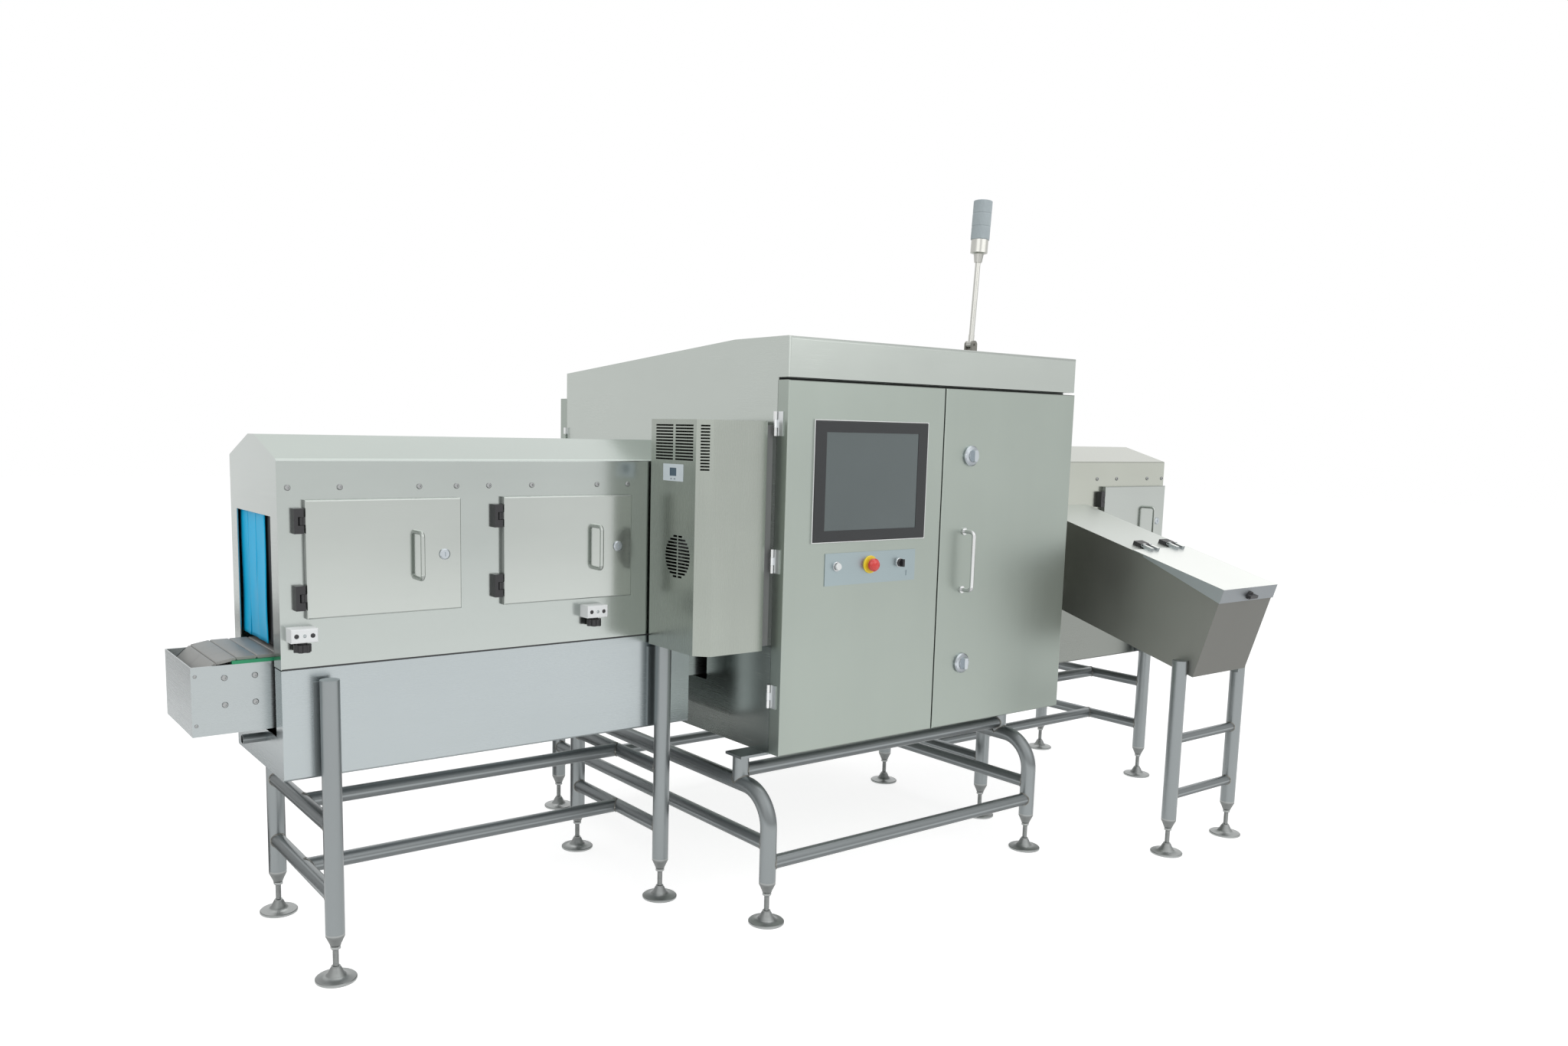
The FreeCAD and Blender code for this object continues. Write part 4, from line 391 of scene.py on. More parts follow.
BLACK = (0.02, 0.02, 0.022)
SHADE_STRIP_SHORT = 0.002
JOINT_SHADE_SECTION = [(-0.001, -0.002), (0.0003, -0.002), (0.0007, -0.0012), (0.0007, 0.0012), (0.0003, 0.002),
                (-0.001, 0.002)]
black_look = plastic("black_plastic", BLACK, 0.42)
joint_shade_strips = []
for hood, skirt in (("infeed_hood", "infeed_skirt"), ("outfeed_hood", "outfeed_skirt")):
    low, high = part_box(hood)
    x0, x1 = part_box(skirt)[0].x + SHADE_STRIP_SHORT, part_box(skirt)[1].x - SHADE_STRIP_SHORT
    for face, way in ((low.y, -1), (high.y, 1)):
        joint_shade_strips.append(bar_grid((x0, face, low.z), (x1, face, low.z), JOINT_SHADE_SECTION, (0, way, 0), (0, 0, 1)))
surfaces("hood_joint_painted_shade", joint_shade_strips, black_look, "machine", soft=30)

# Conveyor bed. Two long side plates on cross tubes, an end box at each end, and green low-friction
# strips of moulded plastic that carry the edges of the belt.
end_box_look = brushed("end_box_sheet", (0.42, 0.455, 0.46), 0.28)
for name in ("conveyor_frame", "conveyor_end_boxes"):
    wear(nodes[name], end_box_look)
bright = brushed("polished_steel", (0.70, 0.71, 0.71), 0.17, "upright", 0.02, 0.0)
for name in ("drive_drum", "idler_roller"):
    wear(nodes[name], bright)
wear(nodes["wear_strips"], plastic("green_strip", (0.015, 0.27, 0.12), 0.42))

# Belt. Grey moulded links 50.8 mm long on hinge pins, laid like bricks, running round a toothed idler
# and a motor drum. Each link is a rigid plate with rounded ends, so the turns are polygons.
TURN, THICK, HALF_WIDTH, LINK, LINK_GAP = 0.091, 0.009, 0.143, 0.0508, 0.0006
FIRST_PIN, LINK_SHY = 0.012, 0.0004
turn_x = (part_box("conveyor_belt")[1].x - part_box("conveyor_belt")[0].x) / 2 - TURN
axis_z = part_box("conveyor_belt")[1].z - TURN
pitch_radius = TURN - THICK / 2
run = 2 * turn_x
round_turn = math.pi * pitch_radius
links = int(round((2 * run + 2 * round_turn) / LINK))


def endless_line(distance):
    """Place on the endless line: along the top to +X, round the turn, back below, and round again."""
    s = distance % (2 * run + 2 * round_turn)
    top = s < run
    right = (s >= run) & (s < run + round_turn)
    below = (s >= run + round_turn) & (s < 2 * run + round_turn)
    angle = np.where(right, (s - run) / pitch_radius, (s - 2 * run - round_turn) / pitch_radius)
    x = np.where(top, -turn_x + s, np.where(right, turn_x + pitch_radius * np.sin(angle), np.where(
        below, turn_x - (s - run - round_turn), -turn_x - pitch_radius * np.sin(angle))))
    z = np.where(top, pitch_radius, np.where(right, pitch_radius * np.cos(angle), np.where(
        below, -pitch_radius, -pitch_radius * np.cos(angle))))
    return np.stack([x, z + axis_z], -1)


def link_grids():
    """Belt links. A link's outline is a bar with half-round ends, set between two pins; each row of
    links is cut across the belt into pieces, and every second row's cuts are moved by half a piece."""
    pins = endless_line(np.arange(links + 1) * (2 * run + 2 * round_turn) / links + FIRST_PIN)
    step = pins[1:] - pins[:-1]
    ahead = step / np.linalg.norm(step, axis=1, keepdims=True)
    out = np.stack([-ahead[:, 1], ahead[:, 0]], -1)
    bow = THICK / 2 - LINK_SHY
    end = (LINK - LINK_GAP) / 2 - bow
    turn = np.linspace(-np.pi / 2, np.pi / 2, 6)
    rim = np.stack([end + bow * np.cos(turn), -bow * np.sin(turn)], -1)
    outline = np.concatenate([rim, -rim])
    middle = (pins[:-1] + pins[1:]) / 2
    edge = middle[:, None] + outline[None, :, :1] * ahead[:, None] + outline[None, :, 1:] * out[:, None]
    core = np.repeat(middle[:, None], len(outline), 1)
    thirds = np.linspace(-HALF_WIDTH, HALF_WIDTH, 4)
    bricks = []
    for row, cuts in enumerate((thirds, [-HALF_WIDTH, *(thirds[1:] + thirds[:-1]) / 2, HALF_WIDTH])):
        for low, high in zip(cuts[:-1], cuts[1:]):
            y0, y1 = low + LINK_GAP / 2, high - LINK_GAP / 2
            rows = [(core[row::2], y0), (edge[row::2], y0), (edge[row::2], y1), (core[row::2], y1)]
            rows = [np.stack([p[..., 0], 0 * p[..., 0] + y + belt_line, p[..., 1]], -1) for p, y in rows]
            bricks.append(np.stack(rows, 1))
    return np.concatenate(bricks)


belt_look = Look("belt_links")
scuff = belt_look.noise((6, 24, 6), 4.0, 0.65)
speck = belt_look.noise((420, 420, 420), 3.0, 0.7)
belt_base = belt_look.tint((scuff * 0.75 + speck * 0.35).kept(), (0.20, 0.203, 0.195), (0.36, 0.36, 0.345))
pitted = belt_look.bumps(speck, 0.12, 0.0004)
belt_look.finish(Base_Color=belt_base, Roughness=scuff * 0.2 + 0.38, Normal=pitted)
belt = surfaces("belt_links", link_grids(), belt_look.material, "machine", soft=50)
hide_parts("conveyor_belt")

# Drain stub. A short open tube under the infeed end box that lets rinsing water out of the trough.
STUB_OUT, STUB_IN, STUB_LENGTH, STUB_SUNK = 0.0125, 0.0108, 0.058, 0.0005
STUB_OFF, STUB_UP = -0.05, 0.630
trough_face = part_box("infeed_skirt")[0].x
stub = [(STUB_IN, 0), (STUB_OUT, 0), (STUB_OUT, STUB_LENGTH), (STUB_IN, STUB_LENGTH)]
stub_at = [(trough_face - STUB_LENGTH + STUB_SUNK, belt_line + STUB_OFF, STUB_UP)]
surfaces("drain_stub", turned(stub, 32, stub_at, (1, 0, 0)), tube_look, "machine", (True, True))

# Guide rail. Two flat rails inside the infeed tunnel; the near one slides on four rods through two
# white clamp blocks and is held by black lobed hand knobs. The blocks' bolts have black plugs.
wear(nodes["guide_rail"], panel)
wear(nodes["clamp_blocks"], plastic("white_plastic", (0.72, 0.74, 0.745), 0.36))
for name in ("clamp_knob_1", "clamp_knob_2"):
    wear(nodes[name], black_look)
BLOCK_SPREAD, PLUG_SHARES = 0.2, (-0.3, 0.3)
plug = [(0, -0.004), (0.0058, -0.004), (0.0058, -0.0008), (0.0048, 0.0), (0.0, 0.0003)]
plug_at = []
for low, high in clumps("clamp_blocks", BLOCK_SPREAD):
    x0, x1 = low[0], high[0]
    plug_at += [((x0 + x1) / 2 + share * (x1 - x0), low[1], (low[2] + high[2]) / 2) for share in PLUG_SHARES]
surfaces("clamp_plugs", turned(plug, 20, plug_at, (0, -1, 0)), black_look, "machine")
bolt_at = (np.array(plug_at[::2]) + plug_at[1::2]) / 2
surfaces("clamp_bolts", turned(plug, 20, bolt_at, (0, -1, 0)), trough_look, "machine")

# Cabinet. Sheet walls and a folded roof with a fascia over the doors, lead-lined inside; the hinges
# are polished butt hinges with the pins welded in.
wear(nodes["cabinet_body"], brushed("cabinet_sheet", (0.485, 0.52, 0.49), 0.25))
wear(nodes["cabinet_hinges"], bright)

# Inside the cabinet. A shielded duct round the belt, the generator's cast tank over it, the line
# detector below the belt, and the control computer on the floor.
wear(nodes["scan_duct"], panel)
cast_look = plastic("cast_aluminium", (0.46, 0.47, 0.475), 0.4, 600, 0.15, 0.06, Metallic=0.85)
for name in ("xray_generator", "xray_detector"):
    wear(nodes[name], cast_look)
wear(nodes["control_computer"], plastic("grey_paint", (0.29, 0.30, 0.31), 0.42, 900, 0.12, 0.04))

# Cabinet doors. Folded pans with an upright grain, a polished bow handle on two roses, and round
# turning locks. The rear door is the same pan with its own handle.
DOOR_STEEL = (0.365, 0.408, 0.372)
upright_panel = brushed("upright_sheet", DOOR_STEEL, 0.36, "upright")
HINGE_CLEAR = 0.0008
hinge_side = (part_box("cabinet_body")[0].x - HINGE_CLEAR, (0.74, 0.76, 0.77), 1.0)
wear(nodes["left_door"], brushed("left_door_sheet", DOOR_STEEL, 0.36, "upright", lug=hinge_side))
for name in ("right_door", "rear_door"):
    wear(nodes[name], upright_panel)
wear(nodes["right_door_handle"], bright)
lock_look = brushed("lock_steel", (0.50, 0.54, 0.57), 0.2, "level", 0.1, 0.0)
for name in ("upper_door_lock", "lower_door_lock"):
    wear(nodes[name], lock_look)

# Door gaps. Flat black strips on the cabinet's front, behind the gap between the two doors and
# the gap under the fascia: painted shade that makes the shadowed gaps read black.
DOOR_DEPTH, DOOR_GAP, FASCIA_GAP = 0.050, 0.001, 0.008
SHADE_STRIP_THICK, SHADE_STRIP_HALF, SHADE_STRIP_SUNK = 0.0008, 0.0058, 0.0005
SHADE_STRIP_INSET, SHADE_STRIP_DROP = 0.004, 0.0004
flat_section = [(-SHADE_STRIP_HALF, SHADE_STRIP_SUNK), (-SHADE_STRIP_HALF, -SHADE_STRIP_THICK * 0.6), (-SHADE_STRIP_HALF * 0.9, -SHADE_STRIP_THICK),
                (SHADE_STRIP_HALF * 0.9, -SHADE_STRIP_THICK), (SHADE_STRIP_HALF, -SHADE_STRIP_THICK * 0.6), (SHADE_STRIP_HALF, SHADE_STRIP_SUNK)]
door_low, door_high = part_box("right_door")
shade_strip_y = door_low.y + DOOR_DEPTH + DOOR_GAP
split_x = (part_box("left_door")[1].x + door_low.x) / 2
top_z = door_high.z + FASCIA_GAP - SHADE_STRIP_HALF - SHADE_STRIP_DROP
left_x, right_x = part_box("cabinet_body")[0].x + SHADE_STRIP_INSET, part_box("cabinet_body")[1].x - SHADE_STRIP_INSET
top_shade_strip = bar_grid((left_x, shade_strip_y, top_z), (right_x, shade_strip_y, top_z), flat_section, (0, 0, 1), (0, 1, 0))
split_shade_strip = bar_grid((split_x, shade_strip_y, door_low.z + SHADE_STRIP_SHORT), (split_x, shade_strip_y, top_z - SHADE_STRIP_HALF),
                      flat_section, (1, 0, 0), (0, 1, 0))
surfaces("door_gap_painted_shade", [top_shade_strip, split_shade_strip], black_look, "machine", soft=30)

# Touch panel. Dark glass in a black bezel with a thin bright trim pressed round it, set in the left
# door. The screen is off.
wear(nodes["screen_housing"], plastic("bezel_black", (0.014, 0.016, 0.018), 0.36, 1800, 0.04, 0.08))
glass_look = Look("screen_glass")
haze = glass_look.noise((2.2, 2.2, 2.6), 2.0, 0.5)
glass_base = glass_look.tint(haze, (0.072, 0.092, 0.094), (0.102, 0.125, 0.127))
glass_look.finish(Base_Color=glass_base, Roughness=haze * 0.06 + 0.13, Specular_IOR_Level=0.6)
wear(nodes["screen_glass"], glass_look.material)
TRIM_WIDTH, TRIM_DEPTH, TRIM_GAP, TRIM_EDGE = 0.0045, 0.0055, 0.0002, 0.001
low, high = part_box("screen_housing")
sheet_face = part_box("control_plate")[1].y
trim_section = np.array([(TRIM_GAP, 0.0), (TRIM_GAP, -TRIM_DEPTH * 0.7), (TRIM_GAP + TRIM_EDGE, -TRIM_DEPTH),
                         (TRIM_WIDTH - TRIM_EDGE, -TRIM_DEPTH), (TRIM_WIDTH, -TRIM_DEPTH * 0.6),
                         (TRIM_WIDTH, 0.0)])
ways = np.array([(-1, -1), (1, -1), (1, 1), (-1, 1)], float)
corner = np.array([(low.x, low.z), (high.x, low.z), (high.x, high.z), (low.x, high.z)])
trim = np.zeros((1, 4, len(trim_section), 3))
trim[0, :, :, 0] = corner[:, :1] + ways[:, :1] * trim_section[:, 0]
trim[0, :, :, 1] = sheet_face + trim_section[:, 1]
trim[0, :, :, 2] = corner[:, 1:] + ways[:, 1:] * trim_section[:, 0]
surfaces("screen_trim", trim, bright, "left_door", (True, True), 25)

# Control plate. A thin etched plate with a push button, a red mushroom stop button on a yellow disc
# and a black rotary selector in chromed sleeves.
wear(nodes["control_plate"], brushed("control_plate", (0.345, 0.413, 0.43), 0.36))
sleeve_look = Look("button_sleeves")
level_place = sleeve_look.axes(sleeve_look.spot())[0]
SLEEVE_SPREAD, STOP_DISC = 0.09, (0.035, 0.04)
sleeves = sorted(clumps("button_collars", SLEEVE_SPREAD), key=lambda box: box[0][0])
stop_x = (sleeves[1][0][0] + sleeves[1][1][0]) / 2
near_stop = 1 - (level_place - stop_x).size().between(*STOP_DISC)
mottle = sleeve_look.noise((60, 60, 60), 2.0)
yellow = sleeve_look.tint(mottle, (0.80, 0.60, 0.03), (0.86, 0.68, 0.06))
sleeve_look.finish(Base_Color=sleeve_look.tint(near_stop, (0.55, 0.56, 0.57), yellow),
                   Metallic=(1 - near_stop) * 0.95, Roughness=mottle * 0.1 + 0.22)
wear(nodes["button_collars"], sleeve_look.material)
wear(nodes["estop_button"], plastic("stop_red", (0.60, 0.025, 0.02), 0.27, 1500, 0.03, 0.06, Coat_Weight=0.4))
wear(nodes["start_button"], plastic("button_white", (0.70, 0.72, 0.72), 0.25, 1500, 0.03, 0.04))
wear(nodes["mode_selector"], plastic("selector_black", (0.018, 0.018, 0.02), 0.3, 1500, 0.03))

# Cooling unit. Thin brushed casing with pressed louvres on two faces, a slotted round grille over an
# axial fan, and a pale display plate with a dark reading window and two keys.
wear(nodes["cooler_housing"], brushed("cooler_sheet", (0.355, 0.382, 0.347), 0.26, "upright", 0.08, 0.12))
wear(nodes["cooler_frame"], plastic("spacer_paint", (0.20, 0.205, 0.205), 0.45, 900, 0.1, 0.05))
wear(nodes["cooler_fan"], black_look)
display_look = Look("display_plate")
low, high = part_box("cooler_display")
place = display_look.axes(display_look.spot())
WINDOW_LIFT, WINDOW_SIDE, WINDOW_TOP = 0.002, (0.016, 0.0175), (0.0115, 0.0125)
KEY_LIFT, KEY_OFF, KEY_SIDE, KEY_TOP = 0.0065, 0.009, (0.004, 0.005), (0.0018, 0.0026)
off_y = (place[1] - (low.y + high.y) / 2).size()
off_z = (place[2] - (low.z + high.z) / 2 - WINDOW_LIFT).size()
window = (1 - off_y.between(*WINDOW_SIDE)) * (1 - off_z.between(*WINDOW_TOP))
key_z = (place[2] - low.z - KEY_LIFT).size()
keys = (1 - key_z.between(*KEY_TOP)) * (1 - (off_y - KEY_OFF).size().between(*KEY_SIDE))
sheen = display_look.noise((30, 30, 30), 2.0)
pale = display_look.tint(sheen, (0.56, 0.63, 0.67), (0.64, 0.70, 0.73))
dark = display_look.tint(sheen, (0.05, 0.09, 0.13), (0.07, 0.12, 0.16))
marks = (window + keys * 0.6).kept()
display_look.finish(Base_Color=display_look.tint(marks, pale, dark), Roughness=sheen * 0.1 + 0.3)
wear(nodes["cooler_display"], display_look.material)

# Tunnel doors. Small folded pans with welded bow handles on moulded black hinge blocks, each shut by
# a key-turned cam lock with a polished head.
LUG_REACH = 0.0155
for name in ("infeed_door_1", "infeed_door_2", "outfeed_door"):
    lug = (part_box(name)[0].x + LUG_REACH, BLACK, 0.0)
    wear(nodes[name], brushed(name + "_sheet", (0.49, 0.52, 0.495), 0.14, "level", 0.06, 0.04, lug=lug))
wear(nodes["hinge_blocks"], black_look)
for name in ("infeed_lock_1", "infeed_lock_2", "outfeed_lock"):
    wear(nodes[name], lock_look)

# Screws. Button heads with a socket, on the hoods' inner frames and the end bearings, and smaller
# ones at the corners of the end boxes.
SCREW_RISE, SOCKET, SCREW_SPREAD = 0.52, 0.42, 0.03
CORNER_INSET, CORNER_HEIGHTS, CORNER_SHARE = 0.010, (0.832, 0.705), 0.6
screws = clumps("panel_screws", SCREW_SPREAD)
screw_radius = (screws[0][1][0] - screws[0][0][0]) / 2
inner = screw_radius * SOCKET
dome = np.linspace(0, 1.1, 6)
narrowed = screw_radius * (1 - 0.55 * (1 - np.cos(dome)))
head = [(0, -0.0003), (screw_radius, -0.0003)]
head += list(zip(narrowed, screw_radius * SCREW_RISE * np.sin(dome)))
head += [(inner, head[-1][1] * 1.02), (inner, head[-1][1] * 0.35), (0, head[-1][1] * 0.35)]
screw_look = brushed("screw_steel", (0.37, 0.38, 0.38), 0.3)
box_low, box_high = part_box("conveyor_end_boxes")
corners = [(x, z) for x in (box_low.x + CORNER_INSET, box_high.x - CORNER_INSET) for z in CORNER_HEIGHTS]
for side, way in (("front", -1), ("back", 1)):
    own = [box for box in screws if ((box[0] + box[1])[1] / 2 - belt_line) * way > 0]
    middles = [(low + high) / 2 for low, high in own]
    at = [(middle[0], box[1 if way < 0 else 0][1], middle[2]) for middle, box in zip(middles, own)]
    domes = turned(head, 24, at, (0, way, 0))
    heads = surfaces("screws_" + side, domes, screw_look, "machine", soft=30)
    if way < 0:
        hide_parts("panel_screws")
    face = box_low.y if way < 0 else box_high.y
    small = turned(np.array(head) * CORNER_SHARE, 20, [(x, face, z) for x, z in corners], (0, way, 0))
    surfaces("corner_screws_" + side, small, screw_look, "machine", soft=30)

# Strip curtains. Lead-rubber strips 3 mm thick hang from a steel header bar in each mouth: blue ones
# in front, black ones close behind. Each strip bows and drifts a little as it hangs.
blue_look = plastic("blue_strip", (0.006, 0.52, 0.90), 0.46, 700, 0.05, 0.07, Specular_IOR_Level=0.3)
dark_look = plastic("black_strip", (0.02, 0.019, 0.02), 0.5, 700, 0.08)
STRIP_THICK, STRIP_FOOT, STRIP_HEAD, STRIP_GAP = 0.003, 0.012, 0.012, 0.001
STRIP_BOW, STRIP_WAVE, STRIP_DRIFT = 0.0022, 0.0016, 0.0015
STRIP_ROWS, STRIP_COLUMNS = 33, 13
BLUE_STRIPS = ((-0.058, 0.022), (0.0235, 0.1015), (0.103, 0.179))
BLACK_EDGES = (-0.179, -0.0895, 0.0, 0.0895, 0.179)
BAR_SECTION = [(-0.009, -0.006), (-0.009, 0.006), (-0.008, 0.0075), (0.008, 0.0075), (0.009, 0.006),
               (0.009, -0.006), (0.008, -0.007), (-0.008, -0.007)]
FRONT_BEHIND, BLACK_BEHIND, BAR_BEHIND, PIN_BEHIND = 0.0145, 0.008, 0.0045, 0.003
BAR_HALF, BAR_DROP, PIN, PIN_LENGTH, PIN_SUNK = 0.180, 0.009, 0.005, 0.045, 0.0005
belt_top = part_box("conveyor_belt")[1].z


def hung_strip(name, x, inward, y0, y1, phase, material, body):
    """Hanging strip. At a share v across and w down, its X is the hanging plane plus a bow of
    sin(pi v) and a slow wave down its length; its Y drifts by a second wave; Z falls evenly."""
    v = np.linspace(0, 1, STRIP_COLUMNS)[None]
    w = np.linspace(0, 1, STRIP_ROWS)[:, None]
    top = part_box(body)[1].z - STRIP_HEAD
    drop = top - belt_top - STRIP_FOOT
    bow = STRIP_BOW * np.sin(np.pi * v) * w + STRIP_WAVE * np.sin(2.2 * np.pi * w + phase) * w
    grid = np.zeros((1, STRIP_ROWS, STRIP_COLUMNS, 3))
    grid[0, :, :, 0] = x + inward * bow
    grid[0, :, :, 1] = belt_line + y0 + (y1 - y0) * v + STRIP_DRIFT * np.sin(3 * w + phase) * w
    grid[0, :, :, 2] = top - drop * w + 0 * v
    strip = surfaces(name, grid, material, body, (False, False))
    wall = strip.modifiers.new("thickness", "SOLIDIFY")
    wall.thickness = STRIP_THICK
    wall.offset = 0


for body, mouth_x, inward in (("infeed_curtain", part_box("infeed_hood")[0].x, 1),
                              ("outfeed_curtain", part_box("outfeed_hood")[1].x, -1)):
    header_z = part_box(body)[1].z - BAR_DROP
    front_x = mouth_x + inward * FRONT_BEHIND
    near, far = ((front_x + inward * BAR_BEHIND, belt_line + way * BAR_HALF, header_z) for way in (-1, 1))
    bar = bar_grid(near, far, BAR_SECTION, (inward, 0, 0), (0, 0, 1))
    header = surfaces(body + "_header", [bar], bright, body, soft=30)
    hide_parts(body)
    pin = [(0, 0), (PIN, 0), (PIN, PIN_LENGTH), (0, PIN_LENGTH)]
    journals = []
    for way in (-1, 1):
        pin_at = (front_x + inward * PIN_BEHIND, belt_line + way * (BAR_HALF - PIN_SUNK), header_z)
        journals.append(turned(pin, 20, [pin_at], (0, way, 0)))
    surfaces(body + "_journals", np.concatenate(journals), bright, body)
    for number, (y0, y1) in enumerate(BLUE_STRIPS):
        name = body + "_blue_" + str(number)
        hung_strip(name, front_x, inward, y0, y1, number * 1.7, blue_look, body)
    for number, (y0, y1) in enumerate(zip(BLACK_EDGES[:-1], BLACK_EDGES[1:])):
        name = body + "_black_" + str(number)
        hung_strip(name, front_x + inward * BLACK_BEHIND, inward, y0 + STRIP_GAP, y1 - STRIP_GAP,
                   number * 2.3 + 1, dark_look, body)

# Reject chute. A sloping sheet box with a flanged lid on two black moulded hinges and a black
# quarter-turn latch; behind the tunnel an air cylinder moves the pusher plate.
# The box's dark sheet colour is painted shade that stands in for the dark reflections in its sides. The box
# and the lid take a much lighter colour on what faces up: painted light from above.
wear(nodes["chute_box"], brushed("chute_painted_shade_sheet", (0.295, 0.297, 0.277), 0.44, "upright", 0.07, 0.08,
                                 painted_top_light=(0.66, 0.69, 0.66)))
wear(nodes["chute_lid"], brushed("lid_sheet", (0.44, 0.47, 0.49), 0.42, "upright", 0.04, 0.04,
                                 painted_top_light=(0.92, 0.94, 0.91)))
wear(nodes["chute_latch"], black_look)
wear(nodes["pusher_plate"], panel)
wear(nodes["pusher_cylinder"], cast_look)

# Signal tower. A folding foot on the roof, a satin pole, and a lamp with a milky lens over a turned
# cup. The lamp is off.
wear(nodes["tower_base"], plastic("tower_foot", (0.20, 0.195, 0.175), 0.4, 900, 0.1, 0.08, Metallic=0.6))
wear(nodes["tower_pole"], brushed("tower_tube", (0.50, 0.50, 0.47), 0.3, "upright", 0.06))
LAMP_LEAN, RIBS, RIB_RISE = math.radians(3.4), 30, 0.0009
LENS, LENS_NECK, BANDS = 0.0310, 0.0300, 3
lamp_axis = np.array((math.sin(LAMP_LEAN), 0, math.cos(LAMP_LEAN)))
lamp_points = points_of("tower_lamp")
lamp_along = (lamp_points - lamp_points.mean(0)) @ lamp_axis
lamp_tall = lamp_along.max() - lamp_along.min()
lamp_foot = (lamp_points.min(0) + lamp_points.max(0)) / 2 - lamp_axis * lamp_tall / 2
lens_rows = [(0, 0), (LENS_NECK, 0)]
for band in range(BANDS):
    foot, top = band * lamp_tall / BANDS, (band + 1) * lamp_tall / BANDS
    lens_rows += [(LENS_NECK, foot + 0.0006), (LENS, foot + 0.0020)]
    lens_rows += [(LENS, height) for height in np.linspace(foot + 0.004, top - 0.004, 5)]
    lens_rows += [(LENS, top - 0.0020), (LENS_NECK, top - 0.0006)]
lens_rows = lens_rows[:-1] + [(0.0296, lamp_tall - 0.0010), (0.0270, lamp_tall), (0, lamp_tall)]


def ribs(angle, height):
    """Half-round ribs up the lens: each swells by the size of a sine of the angle."""
    return RIB_RISE * np.abs(np.sin(angle * RIBS)) + 0 * height


lens_look = Look("lamp_lens")
milk = lens_look.noise((40, 40, 12), 2.0)
lens_base = lens_look.tint(milk, (0.33, 0.38, 0.40), (0.40, 0.45, 0.47))
lens_look.finish(Base_Color=lens_base, Roughness=milk * 0.15 + 0.25, Specular_IOR_Level=0.35)
lens_piece = surfaces("lamp_lens", turned(lens_rows, 240, [lamp_foot], lamp_axis, ribs), lens_look.material,
                      "signal_tower", soft=50)
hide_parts("tower_lamp")

# Studio. A pale floor that keeps the machine's soft shadow, a white surround, three broad lamps, and
# grey cards at the left that only the bright sheet sees.
scene = bpy.context.scene
scene.view_settings.view_transform = "Standard"
FLOOR_GLOW, GLOW_STRENGTH, FLOOR_REACH, FLOOR_Z = 0.48, 1.62, 30.0, -0.0005
CARD_FADE, CARD_Y, CARD_TOP, CARD_Z, SURROUND_LIGHT = (0.2, 1.35), 7, 1.65, 0.001, 0.5


def rays_seen(look):
    """1 for camera, glossy and transmission rays, 0 for the rays that light the object."""
    path = [look.add("ShaderNodeLightPath", {}, out=kind)
            for kind in ("Is Camera Ray", "Is Glossy Ray", "Is Transmission Ray")]
    return (path[0] + path[1] + path[2]).kept()


def stage_plate(name, corners, material):
    """A flat studio piece between four corners."""
    mesh = bpy.data.meshes.new(name)
    mesh.from_pydata(corners, [], [(0, 1, 2, 3)])
    obj = bpy.data.objects.new(name, mesh)
    scene.collection.objects.link(obj)
    return wear(obj, material)


def card(name, corners, low, high):
    """Grey card that only shiny surfaces see, of one shade at the floor and another higher up."""
    look = Look(name)
    rise = look.axes(look.spot())[2].between(*CARD_FADE)
    look.finish(Base_Color=(0, 0, 0), Emission_Color=look.tint(rise, (low, low, low), (high, high, high)),
                Emission_Strength=1.0, Roughness=1.0)
    obj = stage_plate(name, corners, look.material)
    obj.visible_camera = False
    obj.visible_diffuse = False
    obj.visible_shadow = False


def lamp(name, place, aim, width, power):
    """Square soft light that faces a point."""
    data = bpy.data.lights.new(name, "AREA")
    data.size = width
    data.energy = power
    obj = bpy.data.objects.new(name, data)
    obj.location = place
    obj.rotation_euler = (Vector(aim) - Vector(place)).to_track_quat("-Z", "Y").to_euler()
    scene.collection.objects.link(obj)


floor_look = Look("floor")
plain = Wire(floor_look, floor_look.shader.outputs[0])
seen = rays_seen(floor_look) * FLOOR_GLOW
glow = floor_look.add("ShaderNodeEmission", {}, (1, 1, 1), GLOW_STRENGTH)
blend = floor_look.add("ShaderNodeMixShader", {}, seen, plain, glow)
floor_look.link(floor_look.node_of("OUTPUT_MATERIAL").inputs[0], blend)
floor_look.finish(Base_Color=(0.86, 0.86, 0.86), Roughness=0.9)
floor_corners = [(x * FLOOR_REACH, y * FLOOR_REACH, FLOOR_Z) for x, y in ((-1, -1), (1, -1), (1, 1), (-1, 1))]
stage_plate("floor", floor_corners, floor_look.material)
back_corners = [(x, CARD_Y, z) for x, z in ((-10, 0), (-4.45, 0), (-4.45, CARD_TOP), (-10, CARD_TOP))]
card("card_back_left", back_corners, 0.05, 1.1)
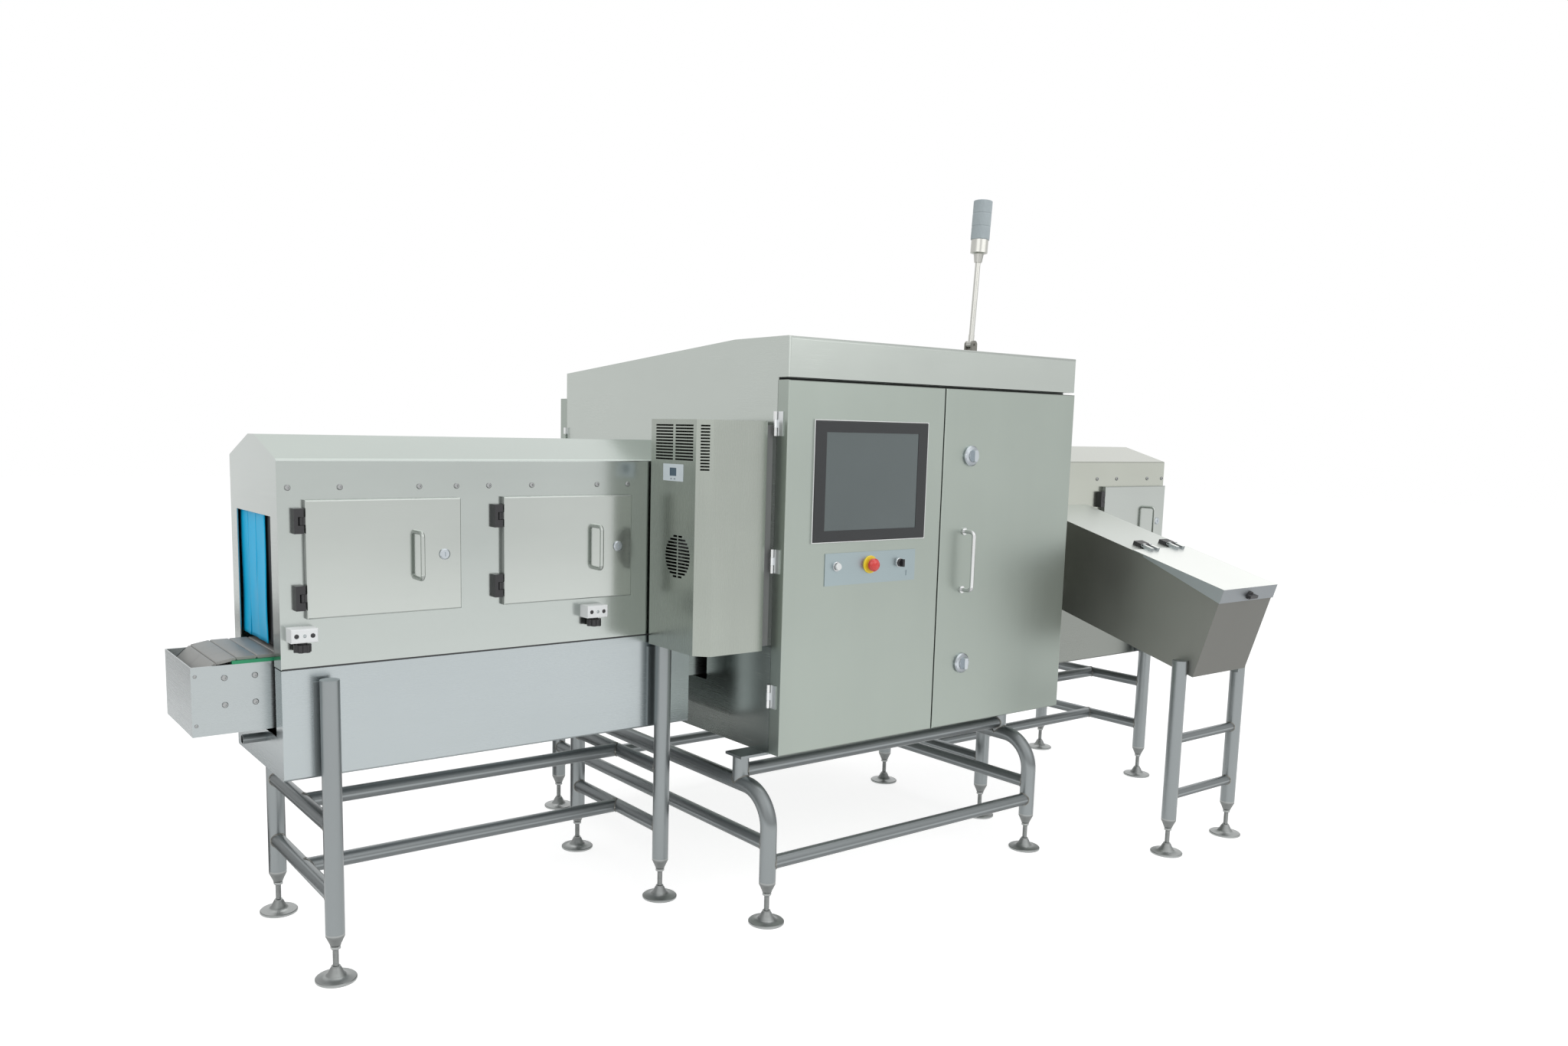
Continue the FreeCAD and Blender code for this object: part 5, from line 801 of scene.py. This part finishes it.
# The two cards on the floor are painted shade: they put the floor's shade beside and behind the machine into
# the lower sheets' reflections, where the floor itself glows evenly white.
for name, x0, x1, y0, y1 in (("card_floor_near", -2.4, -0.9, 0.6, 4.2),
                             ("card_floor_far", -5.0, -3.2, 2.6, 6.5)):
    card(name, [(x, y, CARD_Z) for x, y in ((x0, y0), (x1, y0), (x1, y1), (x0, y1))], 0.07, 0.07)
scene.world = bpy.data.worlds.new("studio")
air = Look("studio", scene.world)
air.finish(Color=(1, 1, 1), Strength=rays_seen(air) * (1 - SURROUND_LIGHT) + SURROUND_LIGHT)
lamp("key", (1.5, -5.5, 5.9), (0, 0, 0.9), 8.0, 265)
lamp("fill", (-5.0, -3.0, 4.4), (0, 0, 0.9), 5.0, 84)
lamp("top", (0.0, 1.0, 6.5), (0, 0, 0), 6.2, 125)

# Camera. It stands off the infeed end in front of the operator's side, at breast height. Its axis
# is lower than the middle of the picture, hence the shift.
PHOTO_WIDTH = 2048
FOCAL_PIXELS = 1531.07
AXIS_OFF_CENTRE = (86.33, 78.47)
STANDS_AT = (-2.7151, -3.14825, 1.47)
YAW, PITCH, ROLL = -0.6296, 0.1287, 0.0212
lens = bpy.data.cameras.new("camera")
lens.sensor_width = 36.0
lens.lens = FOCAL_PIXELS / PHOTO_WIDTH * lens.sensor_width
lens.shift_x = AXIS_OFF_CENTRE[0] / PHOTO_WIDTH
lens.shift_y = AXIS_OFF_CENTRE[1] / PHOTO_WIDTH
lens.clip_start = 0.05
lens.clip_end = 100.0
camera = bpy.data.objects.new("camera", lens)
scene.collection.objects.link(camera)
level_right = Vector((math.cos(YAW), math.sin(YAW), 0))
level_ahead = Vector((-math.sin(YAW), math.cos(YAW), 0))
ahead_way = level_ahead * math.cos(PITCH) - Vector((0, 0, math.sin(PITCH)))
upright = level_ahead * math.sin(PITCH) + Vector((0, 0, math.cos(PITCH)))
right_way = level_right * math.cos(ROLL) + upright * math.sin(ROLL)
above = upright * math.cos(ROLL) - level_right * math.sin(ROLL)
facing = Matrix((right_way, above, -ahead_way)).transposed()
camera.matrix_world = Matrix.Translation(STANDS_AT) @ facing.to_4x4()
scene.camera = camera
